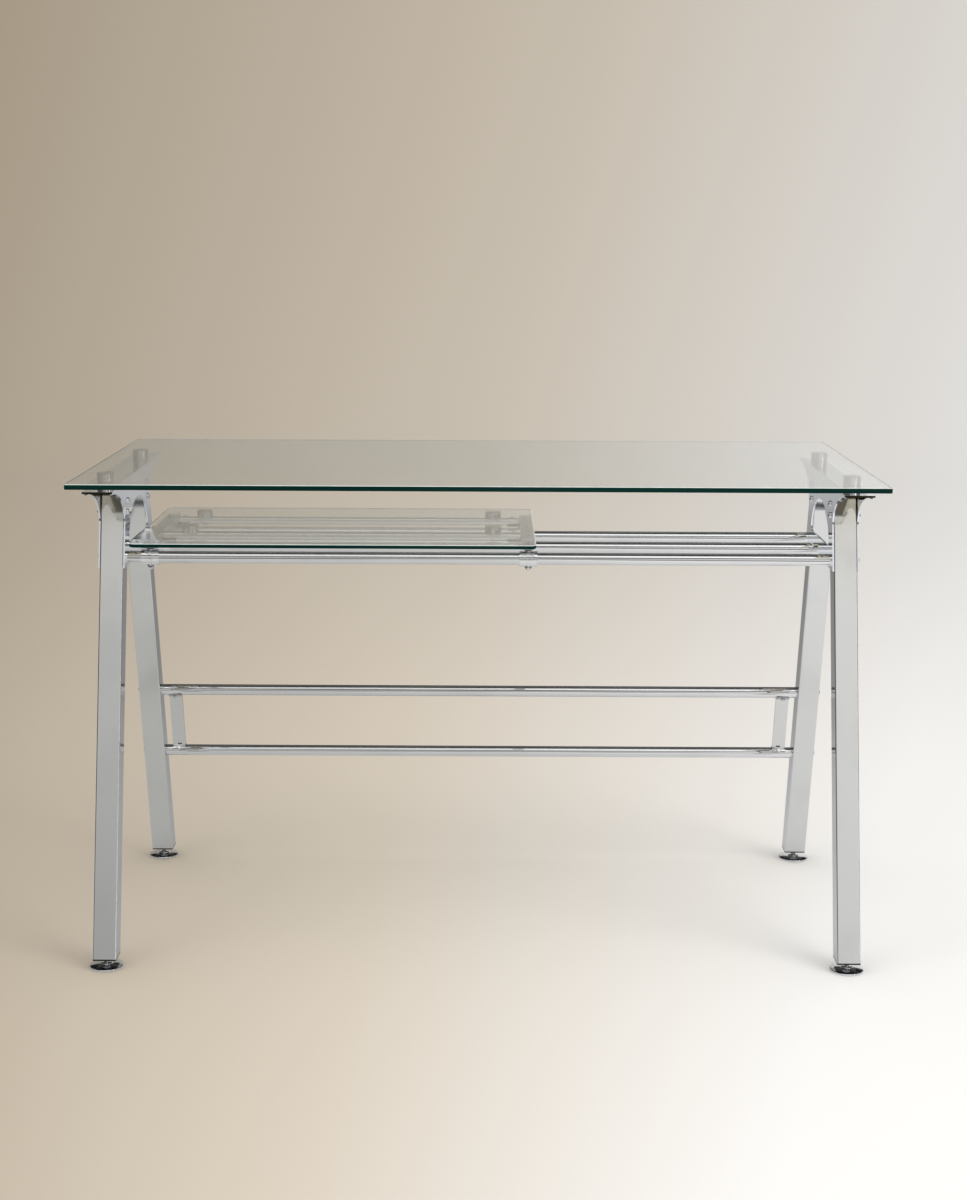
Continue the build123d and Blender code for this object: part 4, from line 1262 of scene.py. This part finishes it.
def background(tree, colour=None, strength=None):
    """Background shader with a colour and a strength, plain or linked."""
    node = add_node(tree, "ShaderNodeBackground")
    for socket, value in zip(node.inputs, (colour, strength)):
        if isinstance(value, bpy.types.NodeSocket):
            tree.links.new(value, socket)
        elif value is not None:
            socket.default_value = value
    return node.outputs[0]


def make_room(settings):
    """Light of the room: bands round the desk's long axis, and plain paper where it is seen directly."""
    world = bpy.data.worlds.new("studio_room")
    bpy.context.scene.world = world
    world.use_nodes = True
    tree = world.node_tree
    tree.nodes.clear()
    parts = add_node(tree, "ShaderNodeSeparateXYZ")
    tree.links.new(add_node(tree, "ShaderNodeTexCoord").outputs["Generated"], parts.inputs[0])
    side, depth, height = parts.outputs
    angle = math_node(tree, "ARCTAN2", height, math_node(tree, "MULTIPLY", depth, -1.0))
    share = remap(tree, angle, -math.pi, math.pi, 0.0, 1.0)
    stops = [((degrees + 180) / 360, (*colour, 1.0)) for degrees, colour in ROOM_BANDS]
    bands = background(tree, fade(tree, share, stops), room_strength(tree, side, angle, settings))
    plain = background(tree, tuple(settings.paper_middle))
    even = background(tree, strength=settings.even_light)
    path = add_node(tree, "ShaderNodeLightPath")
    room = mix_shaders(tree, path.outputs["Is Diffuse Ray"], bands, even)
    room = mix_shaders(tree, path.outputs["Is Camera Ray"], room, plain)
    output = add_node(tree, "ShaderNodeOutputWorld")
    tree.links.new(room, output.inputs["Surface"])


def make_camera(settings):
    """Camera in front of the desk, looking slightly down."""
    lens = bpy.data.cameras.new("desk_camera")
    lens.lens = settings.lens
    lens.clip_end = 60.0
    camera = bpy.data.objects.new("desk_camera", lens)
    look = Vector((
        -math.sin(settings.camera_pan) * math.cos(settings.camera_tilt),
        math.cos(settings.camera_pan) * math.cos(settings.camera_tilt),
        -math.sin(settings.camera_tilt),
    ))
    turn = look.to_track_quat("-Z", "Y").to_matrix() @ Matrix.Rotation(settings.camera_roll, 3, "Z")
    place = (settings.camera_side, -settings.camera_distance, settings.camera_height)
    camera.matrix_world = Matrix.Translation(place) @ turn.to_4x4()
    bpy.context.scene.collection.objects.link(camera)
    bpy.context.scene.camera = camera


class DESK_OT_stage(bpy.types.Operator):
    """Sets the floor, the sweep, the lights and the camera."""

    bl_idname = "desk.stage"
    bl_label = "Stage"

    def execute(self, context):
        settings = context.scene.desk_stage
        make_floor(settings)
        make_room(settings)
        soft_light("key_light", KEY_PLACE, KEY_SIZE, settings.key_power, WARM)
        soft_light("top_light", TOP_PLACE, TOP_SIZE, settings.top_power)
        soft_light("fill_light", FILL_PLACE, FILL_SIZE, settings.fill_power, COOL)
        soft_light("strip_light", STRIP_PLACE, STRIP_SIZE, settings.strip_power, mirrored=True)
        make_camera(settings)
        context.scene.view_settings.view_transform = "Standard"
        return {"FINISHED"}


OPERATORS = (
    DESK_OT_stage, DESK_OT_glass, DESK_OT_legs, DESK_OT_feet, DESK_OT_heads,
    DESK_OT_tubes, DESK_OT_discs, DESK_OT_slides, DESK_OT_fasteners,
)
SETTINGS = {
    "desk_glass": DeskGlassSettings,
    "desk_metal": DeskMetalSettings,
    "desk_feet": DeskFootSettings,
    "desk_stage": DeskStageSettings,
}


class DESK_PT_panel(bpy.types.Panel):
    """Lists the desk's settings and pieces."""

    bl_idname = "DESK_PT_panel"
    bl_label = "Glass desk"
    bl_space_type = "VIEW_3D"
    bl_region_type = "UI"
    bl_category = "Desk"

    def draw(self, context):
        for name, group_type in SETTINGS.items():
            box = self.layout.box()
            box.label(text=group_type.__doc__)
            for key in group_type.__annotations__:
                box.prop(getattr(context.scene, name), key)
        for operator in OPERATORS:
            self.layout.operator(operator.bl_idname)


def register():
    """Adds the settings, the operators and the panel."""
    for group_type in SETTINGS.values():
        bpy.utils.register_class(group_type)
    for name, group_type in SETTINGS.items():
        setattr(bpy.types.Scene, name, PointerProperty(type=group_type))
    for operator in OPERATORS:
        bpy.utils.register_class(operator)
    bpy.utils.register_class(DESK_PT_panel)


def unregister():
    """Takes the panel, the operators and the settings away again."""
    bpy.utils.unregister_class(DESK_PT_panel)
    for operator in reversed(OPERATORS):
        bpy.utils.unregister_class(operator)
    for name, group_type in SETTINGS.items():
        delattr(bpy.types.Scene, name)
        bpy.utils.unregister_class(group_type)


def main():
    """Registers the add-on and makes every piece in order."""
    register()
    for operator in OPERATORS:
        family, name = operator.bl_idname.split(".")
        getattr(getattr(bpy.ops, family), name)()


if __name__ == "__main__":
    main()
